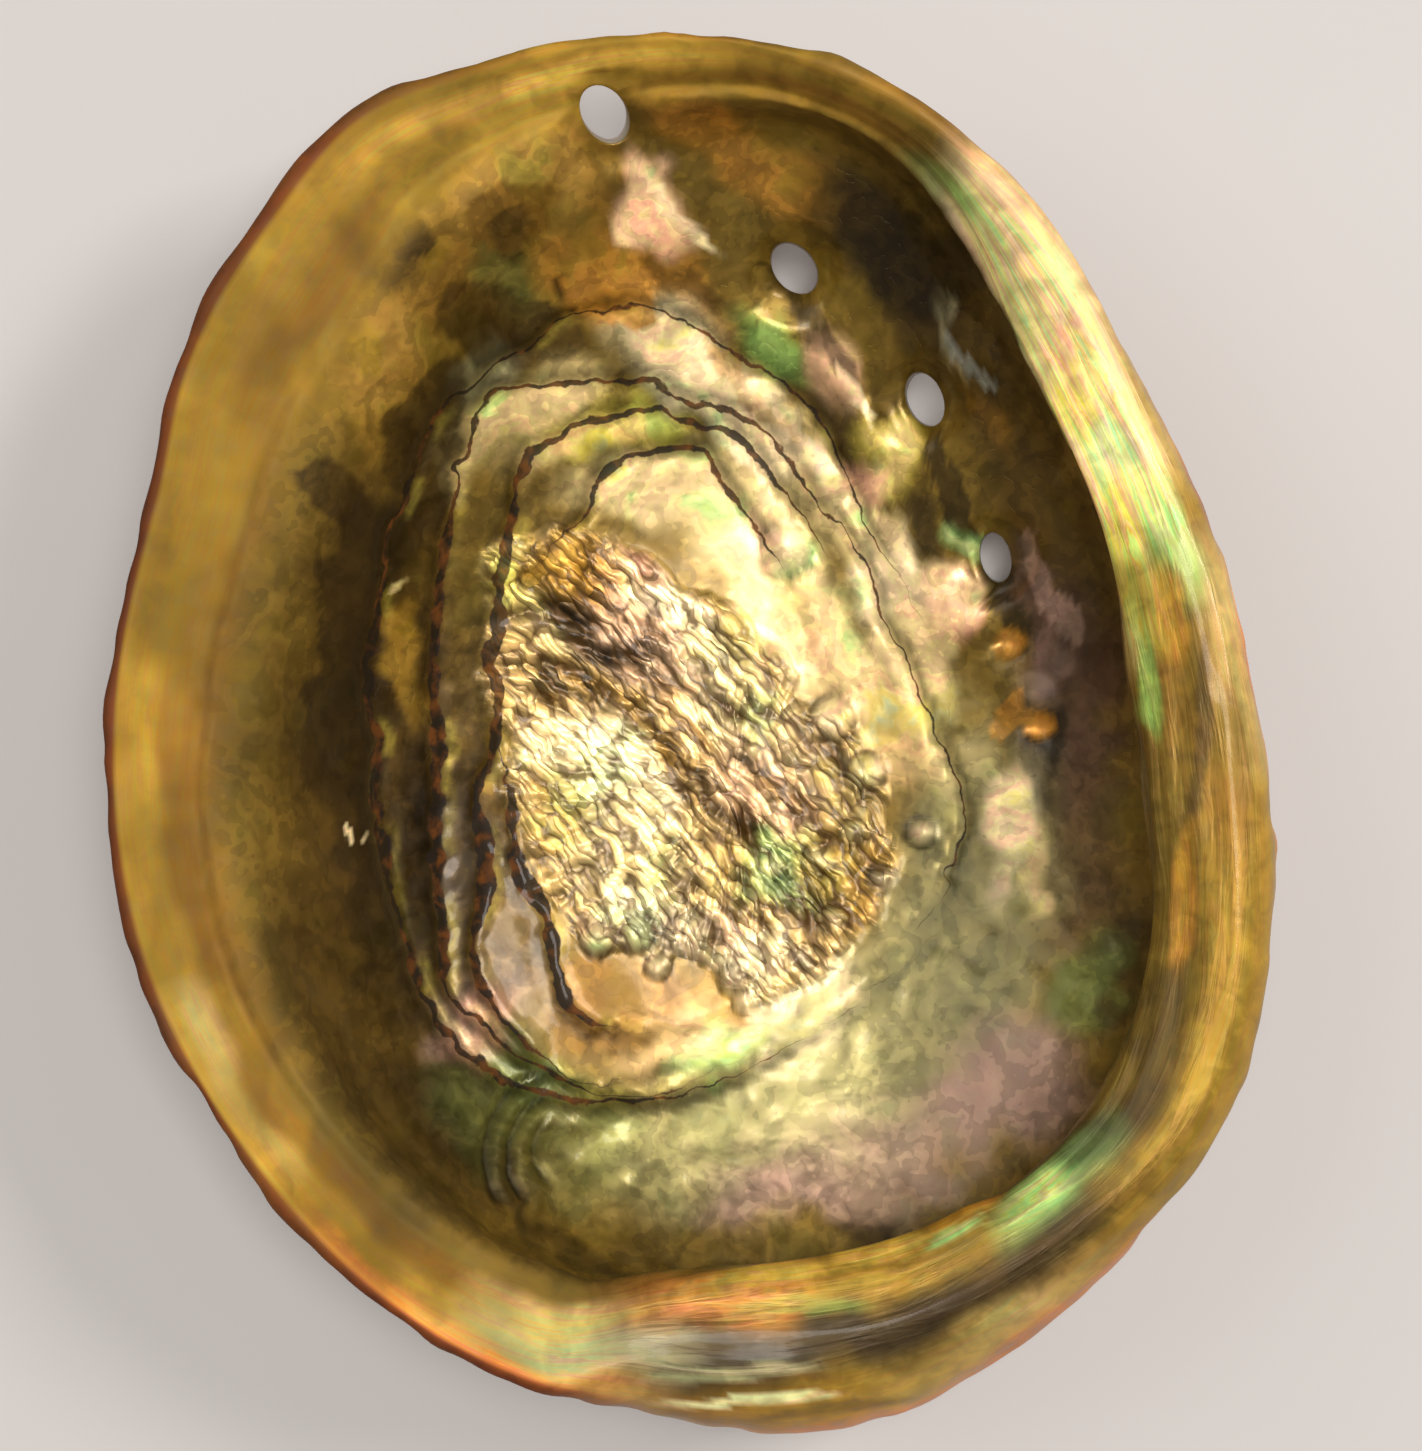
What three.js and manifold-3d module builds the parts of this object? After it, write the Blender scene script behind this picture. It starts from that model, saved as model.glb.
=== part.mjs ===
// A large abalone shell lying on its back with its pearly bowl facing up.
//
// The shell is one piece: a thin wall that grew as one body. It is lofted round a pole near the
// deepest point of the bowl. At every angle round the pole a section runs from the pole up the
// inside of the bowl, over the rim and down the back to the pole again. Three kinds of section
// blend into each other round the shell:
//   lip     the thin flared outer lip, on the left and round the front end
//   column  the inner lip on the right, a shelf that folds in over the bowl
//   spire   the thick shelf over the coiled end
// Four breathing holes are then cut through the wall along the shell's growth spiral.
//
// Millimetres. +Z is up, out of the bowl. +Y points to the front end of the shell and +X to the
// shelf. The origin is on the surface that the shell lies on, below the middle of its outline.

import * as THREE from 'three';
import { ParametricGeometry } from 'three/addons/geometries/ParametricGeometry.js';
import { mergeVertices } from 'three/addons/utils/BufferGeometryUtils.js';
import Module from 'manifold-3d';

// ---- driving dimensions -------------------------------------------------------------------

const LENGTH = 195;
const WIDTH = 160;
const HEIGHT = 52;
const WALL = 0.09; // the wall under the bowl, as a share of the height

const SLICES = 100; // round the shell
const STACKS = 40; // along a section, from pole to pole

const POLE = new THREE.Vector2(6, -8); // plan place of the bowl's deepest point

// ---- outlines and rings -------------------------------------------------------------------

// Widest outline of the shell seen from above, anticlockwise from the right.
const OUTLINE = [
  [79.7, -16], [75.5, 14], [63, 47], [47, 74.5], [31, 88], [16.6, 94.5], [0, 97.5],
  [-29, 93.4], [-46, 87], [-58.4, 73], [-70, 53], [-74.5, 33], [-80, 2], [-75.6, -30.3],
  [-60, -58.4], [-35.3, -82.2], [-17, -91.5], [2, -97.4], [19, -97.3], [45.6, -86],
  [60, -73], [73, -56],
];

// Brim of the bowl: the free edge of the shelf on the right and at the spire, and the soft
// shoulder of the flared lip on the left.
const BRIM = [
  [64.1, -5.5], [61.7, 12.3], [55.5, 37], [45.2, 56.2], [31.4, 79], [20, 87], [5, 89],
  [-10, 86.5], [-24, 81], [-35, 72], [-43, 57], [-55, 32.9], [-61.7, 5.5], [-63, -12],
  [-58.2, -32.9], [-43.8, -56.2], [-26, -69.2], [-6.9, -74.1], [15.1, -73.8],
  [36.9, -67.1], [53.4, -52.1], [63.3, -28.8],
];

// Height of the rim round the pole, as a share of HEIGHT: [degrees, share].
const RIM_HEIGHT = [
  [0, 1], [40, 0.97], [75, 0.9], [100, 0.86], [135, 0.88], [180, 0.95], [220, 1],
  [250, 0.98], [275, 0.93], [310, 0.96],
];

// How much of each kind of section there is round the pole: [degrees, share]. The kinds change
// quickly at the rim, and slowly deep in the bowl and on the back.
const COLUMN_AT_RIM = [
  [0, 1], [50, 1], [64, 0.75], [80, 0.2], [94, 0], [180, 0], [250, 0], [300, 0], [335, 0.8],
];
const COLUMN_IN_BOWL = [
  [0, 1], [35, 0.9], [70, 0.45], [110, 0], [180, 0], [230, 0], [280, 0.3], [330, 0.8],
];
const SPIRE_AT_RIM = [
  [0, 0], [90, 0], [180, 0], [250, 0], [261, 0.85], [271, 1], [300, 1], [335, 0.2],
];
const SPIRE_IN_BOWL = [
  [0, 0.1], [40, 0], [110, 0], [190, 0], [225, 0.3], [258, 0.75], [290, 1], [330, 0.4],
];

// Control points of the sections: [reach, rise]. Reach runs from 0 at the pole to 1 at the brim
// and 2 at the outline, and rise from 0 below the shell to 1 at the rim.
const LIP = [
  [0, WALL], [0.2, WALL], [0.43, 0.115], [0.65, 0.23], [0.8, 0.42], [0.9, 0.62], [0.97, 0.77],
  [1.06, 0.84], [1.25, 0.88], [1.5, 0.92], [1.8, 0.965], [1.98, 1], [2.04, 0.965], [1.6, 0.86],
  [1.1, 0.71], [0.93, 0.44], [0.69, 0.13], [0.34, 0], [0.17, 0], [0, 0],
];
const COLUMN = [
  [0, WALL], [0.21, WALL], [0.45, 0.12], [0.72, 0.2], [0.96, 0.35], [1.4, 0.53], [1.62, 0.7],
  [1.45, 0.83], [1.02, 0.865], [0.97, 0.91], [1.25, 0.955], [1.68, 1.01], [1.97, 0.97],
  [2.05, 0.83], [1.95, 0.6], [1.5, 0.33], [0.92, 0.09], [0.44, 0], [0.22, 0], [0, 0],
];
const SPIRE = [
  [0, WALL], [0.21, WALL], [0.48, 0.12], [0.78, 0.18], [1, 0.28], [1.45, 0.4], [1.6, 0.6],
  [1.42, 0.78], [1.02, 0.83], [0.97, 0.89], [1.2, 0.94], [1.5, 0.98], [1.82, 0.9],
  [2.05, 0.7], [1.98, 0.46], [1.5, 0.2], [0.9, 0.05], [0.44, 0], [0.22, 0], [0, 0],
];
const RIM_CONTROL = 10; // the control point at the crest of the rim
const RIM_REACH = 5; // how many control points away the slower blend has taken over

// Breathing holes along the growth spiral: plan place of each mouth inside the bowl, the way
// its long side points in degrees, and half its length and half its width.
const HOLES = [
  { plan: [-12, 87.5], turn: -55, long: 4.3, short: 3.2 },
  { plan: [15, 68.5], turn: -50, long: 4.2, short: 3 },
  { plan: [34, 49.5], turn: -68, long: 4.2, short: 2.7 },
  { plan: [44.5, 26.5], turn: -78, long: 3.8, short: 2.3 },
];
const HOLE_LEAN = 0.15; // 0 cuts straight down, 1 cuts square to the wall
const HOLE_SIDES = 20;
const DRILL = 32; // length of a cutter
const STRIDE = 1e-3; // step along a section when looking for a hole's place

// ---- periodic keys ------------------------------------------------------------------------

// Keys [angle, value] as a smooth periodic function of the angle: a cubic through each key whose
// slope there is that of the line between its neighbours.
function around(keys) {
  const sorted = [...keys].sort((a, b) => a[0] - b[0]);
  const count = sorted.length;
  const key = (i) => {
    const turn = Math.floor(i / count);
    const [angle, value] = sorted[i - turn * count];
    return [angle + 360 * turn, value];
  };
  return (degrees) => {
    const angle = THREE.MathUtils.euclideanModulo(degrees - sorted[0][0], 360) + sorted[0][0];
    let i = 0;
    while (key(i + 1)[0] <= angle) i += 1;
    const [[a0, v0], [a1, v1], [a2, v2], [a3, v3]] = [key(i - 1), key(i), key(i + 1), key(i + 2)];
    const span = a2 - a1;
    const s = (angle - a1) / span;
    const slope1 = ((v2 - v0) / (a2 - a0)) * span;
    const slope2 = ((v3 - v1) / (a3 - a1)) * span;
    const h = s * s * (3 - 2 * s);
    return v1 * (1 - h) + v2 * h + slope1 * s * (1 - s) ** 2 - slope2 * s * s * (1 - s);
  };
}

// The radius of a closed outline round the pole.
function radiusOf(outline) {
  const keys = outline.map(([x, y]) => {
    const arm = new THREE.Vector2(x, y).sub(POLE);
    return [THREE.MathUtils.radToDeg(arm.angle()), arm.length()];
  });
  return around(keys);
}

const outlineRadius = radiusOf(OUTLINE);
const brimRadius = radiusOf(BRIM);
const rimHeight = around(RIM_HEIGHT);
const columnAtRim = around(COLUMN_AT_RIM);
const columnInBowl = around(COLUMN_IN_BOWL);
const spireAtRim = around(SPIRE_AT_RIM);
const spireInBowl = around(SPIRE_IN_BOWL);

// ---- the shell's surface ------------------------------------------------------------------

const clamp01 = (value) => THREE.MathUtils.clamp(value, 0, 1);

// The control points [radius, height] of the section at an angle, blended from the three kinds.
function sectionAt(degrees) {
  const brim = brimRadius(degrees);
  const outline = outlineRadius(degrees);
  const rim = rimHeight(degrees);
  return LIP.map((lipPoint, i) => {
    const nearRim = THREE.MathUtils.smoothstep(1 - Math.abs(i - RIM_CONTROL) / RIM_REACH, 0, 1);
    const share = (inBowl, atRim) =>
      clamp01(THREE.MathUtils.lerp(inBowl(degrees), atRim(degrees), nearRim));
    const spire = share(spireInBowl, spireAtRim);
    const column = share(columnInBowl, columnAtRim) * (1 - spire);
    const lip = 1 - spire - column;
    const [reach, rise] = lipPoint.map(
      (value, k) => value * lip + COLUMN[i][k] * column + SPIRE[i][k] * spire,
    );
    const radius = reach < 1 ? reach * brim : brim + (reach - 1) * (outline - brim);
    const rimShare = THREE.MathUtils.smoothstep(reach, 0.25, 1);
    return [radius, rise * HEIGHT * THREE.MathUtils.lerp(1, rim, rimShare)];
  });
}

// A uniform cubic B-spline through the section's control points, whose ends are mirrored in the
// pole so that the surface runs smoothly across it.
function sectionPoint(controls, v) {
  const last = controls.length - 1;
  const control = (i) => {
    if (i < 0) return [-controls[1][0], controls[1][1]];
    if (i > last) return [-controls[last - 1][0], controls[last - 1][1]];
    return controls[i];
  };
  const at = Math.min(v * last, last - 1e-9);
  const i = Math.floor(at);
  const t = at - i;
  const weights = [
    (1 - t) ** 3,
    3 * t ** 3 - 6 * t ** 2 + 4,
    -3 * t ** 3 + 3 * t ** 2 + 3 * t + 1,
    t ** 3,
  ];
  const blended = [0, 0];
  weights.forEach((weight, k) => {
    const [radius, height] = control(i - 1 + k);
    blended[0] += (weight / 6) * radius;
    blended[1] += (weight / 6) * height;
  });
  return blended;
}

// The place on the shell at an angle round the pole and v, from 0 to 1, along the section.
function shellPoint(degrees, v) {
  const [radius, height] = sectionPoint(sectionAt(degrees), v);
  const angle = THREE.MathUtils.degToRad(degrees);
  return new THREE.Vector3(
    POLE.x + radius * Math.cos(angle),
    POLE.y + radius * Math.sin(angle),
    height,
  );
}

// ---- solids -------------------------------------------------------------------------------

const wasm = await Module();
wasm.setup();

// A closed geometry as a solid. Triangles that shrink to nothing at a pole are left out.
function solidOf(geometry) {
  geometry.deleteAttribute('normal');
  geometry.deleteAttribute('uv');
  const merged = mergeVertices(geometry, 1e-3);
  const corners = merged.getIndex().array;
  const kept = [];
  for (let i = 0; i < corners.length; i += 3) {
    const [a, b, c] = corners.slice(i, i + 3);
    if (a !== b && b !== c && c !== a) kept.push(a, b, c);
  }
  return new wasm.Manifold(
    new wasm.Mesh({
      numProp: 3,
      vertProperties: new Float32Array(merged.getAttribute('position').array),
      triVerts: new Uint32Array(kept),
    }),
  );
}

function geometryOf(solid) {
  const mesh = solid.getMesh();
  const geometry = new THREE.BufferGeometry();
  geometry.setAttribute('position', new THREE.BufferAttribute(mesh.vertProperties, 3));
  geometry.setIndex(new THREE.BufferAttribute(mesh.triVerts, 1));
  return geometry;
}

// The place and the upward normal on the inside of the wall at a plan place. The section is
// followed out from the pole until it reaches the wanted radius.
function insideWallAt([x, y]) {
  const arm = new THREE.Vector2(x, y).sub(POLE);
  const degrees = THREE.MathUtils.radToDeg(arm.angle());
  const reachOf = (point) => Math.hypot(point.x - POLE.x, point.y - POLE.y);
  let v = 0;
  while (reachOf(shellPoint(degrees, v)) < arm.length()) v += STRIDE;
  const place = shellPoint(degrees, v);
  const outward = shellPoint(degrees, v + STRIDE).sub(place);
  const round = shellPoint(degrees + 1, v).sub(place);
  return { place, normal: outward.cross(round).normalize() };
}

// An oval cutter through the wall. Its axis leans from upright towards the wall's own normal.
function holeCutter({ plan, turn, long, short }) {
  const { place, normal } = insideWallAt(plan);
  const axis = new THREE.Vector3(0, 0, 1).lerp(normal, HOLE_LEAN).normalize();
  const bearing = THREE.MathUtils.degToRad(turn);
  const lengthways = new THREE.Vector3(Math.cos(bearing), Math.sin(bearing), 0);
  const across = lengthways.cross(axis).normalize();
  const along = axis.clone().cross(across);
  const cutter = new THREE.CylinderGeometry(1, 1, DRILL, HOLE_SIDES);
  cutter.applyMatrix4(
    new THREE.Matrix4().makeBasis(
      along.multiplyScalar(long),
      axis,
      across.multiplyScalar(short),
    ),
  );
  cutter.translate(place.x, place.y, place.z);
  return solidOf(cutter);
}

// The shell is brought to its length, width and height, with the origin below its middle.
function fitted(geometry) {
  geometry.computeBoundingBox();
  const size = geometry.boundingBox.getSize(new THREE.Vector3());
  const middle = geometry.boundingBox.getCenter(new THREE.Vector3());
  geometry.translate(-middle.x, -middle.y, -geometry.boundingBox.min.z);
  geometry.scale(WIDTH / size.x, LENGTH / size.y, HEIGHT / size.z);
  return geometry;
}

// The angle runs clockwise with u, so that the faces point out of the wall.
function shellMesh() {
  const wall = new ParametricGeometry(
    (u, v, target) => target.copy(shellPoint(360 * (1 - u), v)),
    SLICES,
    STACKS,
  );
  let solid = solidOf(wall);
  for (const hole of HOLES) solid = solid.subtract(holeCutter(hole));
  const nacre = new THREE.MeshStandardMaterial({ color: 0x9d8040, roughness: 0.25, metalness: 0 });
  const mesh = new THREE.Mesh(fitted(geometryOf(solid)), nacre);
  mesh.name = 'shell';
  return mesh;
}

const abalone = new THREE.Group();
abalone.add(shellMesh());

export default abalone;
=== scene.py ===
"""A polished red abalone shell on its back, with its pearly bowl facing up.

The shell is one closed surface. A section runs from a pole in the deepest part of the bowl, up
the inside, over the rim and down the back to the pole again, and it is carried all the way
round. Scars, growth steps, blisters and ribs are moved out along the surface's own normals.

Shapes are worked out in millimetres, +Z out of the bowl, +Y to the front end of the shell and
+X to the folded shelf, and are brought to metres and into the frame's box at the end.
"""

import math

import bpy
import numpy as np
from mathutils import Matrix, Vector


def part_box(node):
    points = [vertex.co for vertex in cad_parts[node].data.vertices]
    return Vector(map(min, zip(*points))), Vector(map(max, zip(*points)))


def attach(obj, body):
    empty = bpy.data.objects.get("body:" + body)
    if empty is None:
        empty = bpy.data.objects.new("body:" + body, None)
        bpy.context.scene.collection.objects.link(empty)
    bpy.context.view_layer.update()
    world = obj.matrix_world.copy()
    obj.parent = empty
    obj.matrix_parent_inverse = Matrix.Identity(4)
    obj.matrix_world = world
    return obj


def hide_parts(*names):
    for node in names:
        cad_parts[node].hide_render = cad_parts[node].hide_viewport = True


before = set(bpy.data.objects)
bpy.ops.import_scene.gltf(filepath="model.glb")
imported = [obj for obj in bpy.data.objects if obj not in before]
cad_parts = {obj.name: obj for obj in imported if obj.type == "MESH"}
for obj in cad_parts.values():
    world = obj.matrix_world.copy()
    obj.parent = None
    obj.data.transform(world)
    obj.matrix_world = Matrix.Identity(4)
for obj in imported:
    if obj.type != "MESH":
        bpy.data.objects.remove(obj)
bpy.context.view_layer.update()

# ---- the shell's section, as the frame has it ---------------------------------------------

HEIGHT = 52.0
WALL = 0.09  # the wall under the bowl, as a share of the height
POLE = np.array([6.0, -8.0])  # plan place of the bowl's deepest point
APEX = np.array([-20.0, -60.0])  # plan place of the growth spiral's centre

OUTLINE = [
    (79.7, -16), (75.5, 14), (63, 47), (47, 74.5), (31, 88), (16.6, 94.5), (0, 97.5),
    (-29, 93.4), (-46, 87), (-58.4, 73), (-70, 53), (-74.5, 33), (-80, 2), (-75.6, -30.3),
    (-60, -58.4), (-35.3, -82.2), (-17, -91.5), (2, -97.4), (19, -97.3), (45.6, -86),
    (60, -73), (73, -56),
]
BRIM = [
    (64.1, -5.5), (61.7, 12.3), (55.5, 37), (45.2, 56.2), (31.4, 79), (20, 87), (5, 89),
    (-10, 86.5), (-24, 81), (-35, 72), (-43, 57), (-55, 32.9), (-61.7, 5.5), (-63, -12),
    (-58.2, -32.9), (-43.8, -56.2), (-26, -69.2), (-6.9, -74.1), (15.1, -73.8),
    (36.9, -67.1), (53.4, -52.1), (63.3, -28.8),
]
RIM_HEIGHT = [
    (0, 1), (40, 0.97), (75, 0.9), (100, 0.86), (135, 0.88), (180, 0.95), (220, 1),
    (250, 0.98), (275, 0.93), (310, 0.96),
]
COLUMN_AT_RIM = [
    (0, 1), (50, 1), (64, 0.75), (80, 0.2), (94, 0), (180, 0), (250, 0), (300, 0), (335, 0.8),
]
COLUMN_IN_BOWL = [
    (0, 1), (35, 0.9), (70, 0.45), (110, 0), (180, 0), (230, 0), (280, 0.3), (330, 0.8),
]
SPIRE_AT_RIM = [
    (0, 0), (90, 0), (180, 0), (250, 0), (261, 0.85), (271, 1), (300, 1), (335, 0.2),
]
SPIRE_IN_BOWL = [
    (0, 0.1), (40, 0), (110, 0), (190, 0), (225, 0.3), (258, 0.75), (290, 1), (330, 0.4),
]
LIP = np.array([
    (0, WALL), (0.2, WALL), (0.43, 0.115), (0.65, 0.23), (0.8, 0.42), (0.9, 0.62),
    (0.97, 0.77), (1.06, 0.84), (1.25, 0.88), (1.5, 0.92), (1.8, 0.965), (1.98, 1),
    (2.04, 0.965), (1.6, 0.86), (1.1, 0.71), (0.93, 0.44), (0.69, 0.13), (0.34, 0),
    (0.17, 0), (0, 0),
])
COLUMN = np.array([
    (0, WALL), (0.21, WALL), (0.45, 0.12), (0.72, 0.2), (0.96, 0.35), (1.4, 0.53),
    (1.62, 0.7), (1.45, 0.83), (1.02, 0.865), (0.97, 0.91), (1.25, 0.955), (1.68, 1.01),
    (1.97, 0.97), (2.05, 0.83), (1.95, 0.6), (1.5, 0.33), (0.92, 0.09), (0.44, 0),
    (0.22, 0), (0, 0),
])
SPIRE = np.array([
    (0, WALL), (0.21, WALL), (0.48, 0.12), (0.78, 0.18), (1, 0.28), (1.45, 0.4),
    (1.6, 0.6), (1.42, 0.78), (1.02, 0.83), (0.97, 0.89), (1.2, 0.94), (1.5, 0.98),
    (1.82, 0.9), (2.05, 0.7), (1.98, 0.46), (1.5, 0.2), (0.9, 0.05), (0.44, 0),
    (0.22, 0), (0, 0),
])
LAST = len(LIP) - 1  # the last control point of a section
RIM_CONTROL = 10  # the control point in the middle of the rim
RIM_REACH = 5  # how many control points on each side of it count as near the rim
# Breathing holes: plan place, the way the long side points, half the length, half the width.
HOLES = [
    ((-12, 87.5), -55, 4.3, 3.2),
    ((15, 68.5), -50, 4.2, 3.0),
    ((34, 49.5), -68, 4.2, 2.7),
    ((44.5, 26.5), -78, 3.8, 2.3),
]
HOLE_LEAN = 0.15  # how far a hole's axis leans from straight up towards the wall's normal

# ---- how finely the surface is laid out ---------------------------------------------------

ANGLES = 448  # columns round the shell
ROWS_IN = 120  # rows from the pole up to the brim
ROWS_RIM = 42  # rows over the shelf and the rim
ROWS_BACK = 50  # rows down the back
BRIM_AT = 8 / LAST  # how far along the section the brim lies
LIP_WIDEST_AT = 11.6 / LAST  # how far along the section the lip is widest
SHELF_WIDEST_AT = 13 / LAST  # how far along the section the shelf is widest
SHELF_EDGE_AT = 8.6 / LAST  # how far along the section the shelf's free edge lies
EDGE_AT = 13 / LAST  # how far along the section the back begins
DEGREE_STEP = 0.05  # half the step round the shell that slopes are measured over


# ---- numbers ------------------------------------------------------------------------------


def smooth(low, high, value):
    """0 below low and 1 above high, with the cubic 3t^2 - 2t^3 in between."""
    t = np.clip((value - low) / (high - low), 0, 1)
    return t * t * (3 - 2 * t)


def bell(distance, width):
    """exp(-(distance / width)^2): 1 in the middle, and next to nothing past twice the width."""
    return np.exp(-((distance / width) ** 2))


def around(keys, degrees):
    """A periodic cubic through [angle, value] keys, whose slope at each key is that of the
    line between its neighbours."""
    keys = np.array(sorted(keys), float)
    angle = np.concatenate([keys[-2:, 0] - 360, keys[:, 0], keys[:3, 0] + 360])
    value = np.concatenate([keys[-2:, 1], keys[:, 1], keys[:3, 1]])
    turned = keys[0, 0] + np.mod(degrees - keys[0, 0], 360)
    i = np.searchsorted(angle, turned, side="right") - 1
    span = angle[i + 1] - angle[i]
    s = (turned - angle[i]) / span
    slope_here = (value[i + 1] - value[i - 1]) / (angle[i + 1] - angle[i - 1]) * span
    slope_next = (value[i + 2] - value[i]) / (angle[i + 2] - angle[i]) * span
    h = s * s * (3 - 2 * s)
    bend = slope_here * s * (1 - s) ** 2 - slope_next * s * s * (1 - s)
    return value[i] * (1 - h) + value[i + 1] * h + bend


def polar_keys(outline, centre):
    """A closed outline as [degrees, radius] keys round a centre."""
    arms = np.array(outline, float) - centre
    degrees = np.degrees(np.arctan2(arms[:, 1], arms[:, 0])) % 360
    return list(zip(degrees, np.hypot(arms[:, 0], arms[:, 1])))


LATTICE = np.random.default_rng(11).random((32, 32, 32)) * 2 - 1


def noise(x, y, z=0.0):
    """Smooth noise from -1 to 1: random values at whole places of a repeating lattice,
    blended between its eight corners with the quintic 6t^5 - 15t^4 + 10t^3."""
    place = np.stack(np.broadcast_arrays(x, y, z), -1)
    cell = np.floor(place).astype(int)
    t = place - cell
    t = t * t * t * (t * (t * 6 - 15) + 10)
    total = 0
    for corner in np.ndindex(2, 2, 2):
        weight = np.prod(np.where(np.array(corner) == 1, t, 1 - t), -1)
        a, b, c = np.moveaxis((cell + corner) % 32, -1, 0)
        total = total + weight * LATTICE[a, b, c]
    return total


def round_noise(degrees, size, z):
    """Noise along a circle, so that it meets itself after a whole turn, of a size in degrees."""
    radius = math.degrees(1) / size
    turn = np.radians(degrees)
    return noise(radius * np.cos(turn), radius * np.sin(turn), z)


def cloud(x, y, size, octaves=3, z=0.0):
    """Noise of the given size in millimetres, with finer noise of half the strength added."""
    total = 0
    for octave in range(octaves):
        fine = 2**octave
        total = total + noise(x * fine / size, y * fine / size, z + 7.3 * octave) / fine
    return total


# ---- the base surface ---------------------------------------------------------------------

OUTLINE_KEYS = polar_keys(OUTLINE, POLE)
BRIM_KEYS = polar_keys(BRIM, POLE)


def section_controls(degrees):
    """Control points (radius, height) of the section at each angle. The lip, column and spire
    sections are blended by their shares, quickly at the rim and slowly in the bowl and on the
    back. Reach 1 is the brim's radius and 2 is the outline's."""
    brim = around(BRIM_KEYS, degrees)[:, None]
    outline = around(OUTLINE_KEYS, degrees)[:, None]
    rim = around(RIM_HEIGHT, degrees)[:, None]
    near_rim = smooth(0, 1, 1 - np.abs(np.arange(LAST + 1) - RIM_CONTROL) / RIM_REACH)

    def share(in_bowl, at_rim):
        slow = around(in_bowl, degrees)[:, None]
        fast = around(at_rim, degrees)[:, None]
        return np.clip(slow + (fast - slow) * near_rim, 0, 1)

    spire = share(SPIRE_IN_BOWL, SPIRE_AT_RIM)
    column = share(COLUMN_IN_BOWL, COLUMN_AT_RIM) * (1 - spire)
    lip = 1 - spire - column
    reach, rise = (
        lip * LIP[:, k] + column * COLUMN[:, k] + spire * SPIRE[:, k] for k in (0, 1)
    )
    radius = np.where(reach < 1, reach * brim, brim + (reach - 1) * (outline - brim))
    height = rise * HEIGHT * (1 + (rim - 1) * smooth(0.25, 1, reach))
    return np.stack([radius, height], -1)


def wall(degrees, v):
    """Points of the base surface: a uniform cubic B-spline through the section's control
    points, mirrored in the pole at both ends, turned to its angle round the pole."""
    shape = np.shape(degrees)
    degrees, v = np.ravel(degrees), np.ravel(v)
    controls = section_controls(degrees)
    mirrored = controls[:, [1, LAST - 1]] * (-1, 1)
    padded = np.concatenate([mirrored[:, :1], controls, mirrored[:, 1:]], 1)
    at = np.clip(v * LAST, 0, LAST - 1e-9)
    i = np.floor(at).astype(int)
    t = at - i
    weights = (
        (1 - t) ** 3,
        3 * t**3 - 6 * t**2 + 4,
        -3 * t**3 + 3 * t**2 + 3 * t + 1,
        t**3,
    )
    row = np.arange(len(v))
    point = sum(w[:, None] / 6 * padded[row, i + k] for k, w in enumerate(weights))
    angle = np.radians(degrees)
    x = POLE[0] + point[:, 0] * np.cos(angle)
    y = POLE[1] + point[:, 0] * np.sin(angle)
    return np.stack([x, y, point[:, 1]], -1).reshape(*shape, 3)


def wall_normal(degrees, v):
    """Unit normals of the base surface, out of the wall: the cross product of a small step
    along the section and a small step round the shell."""
    step = 1e-4
    inner = np.clip(v, 2e-3, 1 - 2e-3)
    along = wall(degrees, inner + step) - wall(degrees, inner - step)
    round_ = wall(degrees + DEGREE_STEP, inner) - wall(degrees - DEGREE_STEP, inner)
    normal = np.cross(along, round_)
    return normal / np.linalg.norm(normal, axis=-1, keepdims=True)


# ---- growth lines, scar and holes in plan -------------------------------------------------

SCAR = np.array([-2.0, 0.0])  # plan centre of the growth lines round the muscle scar

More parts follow.
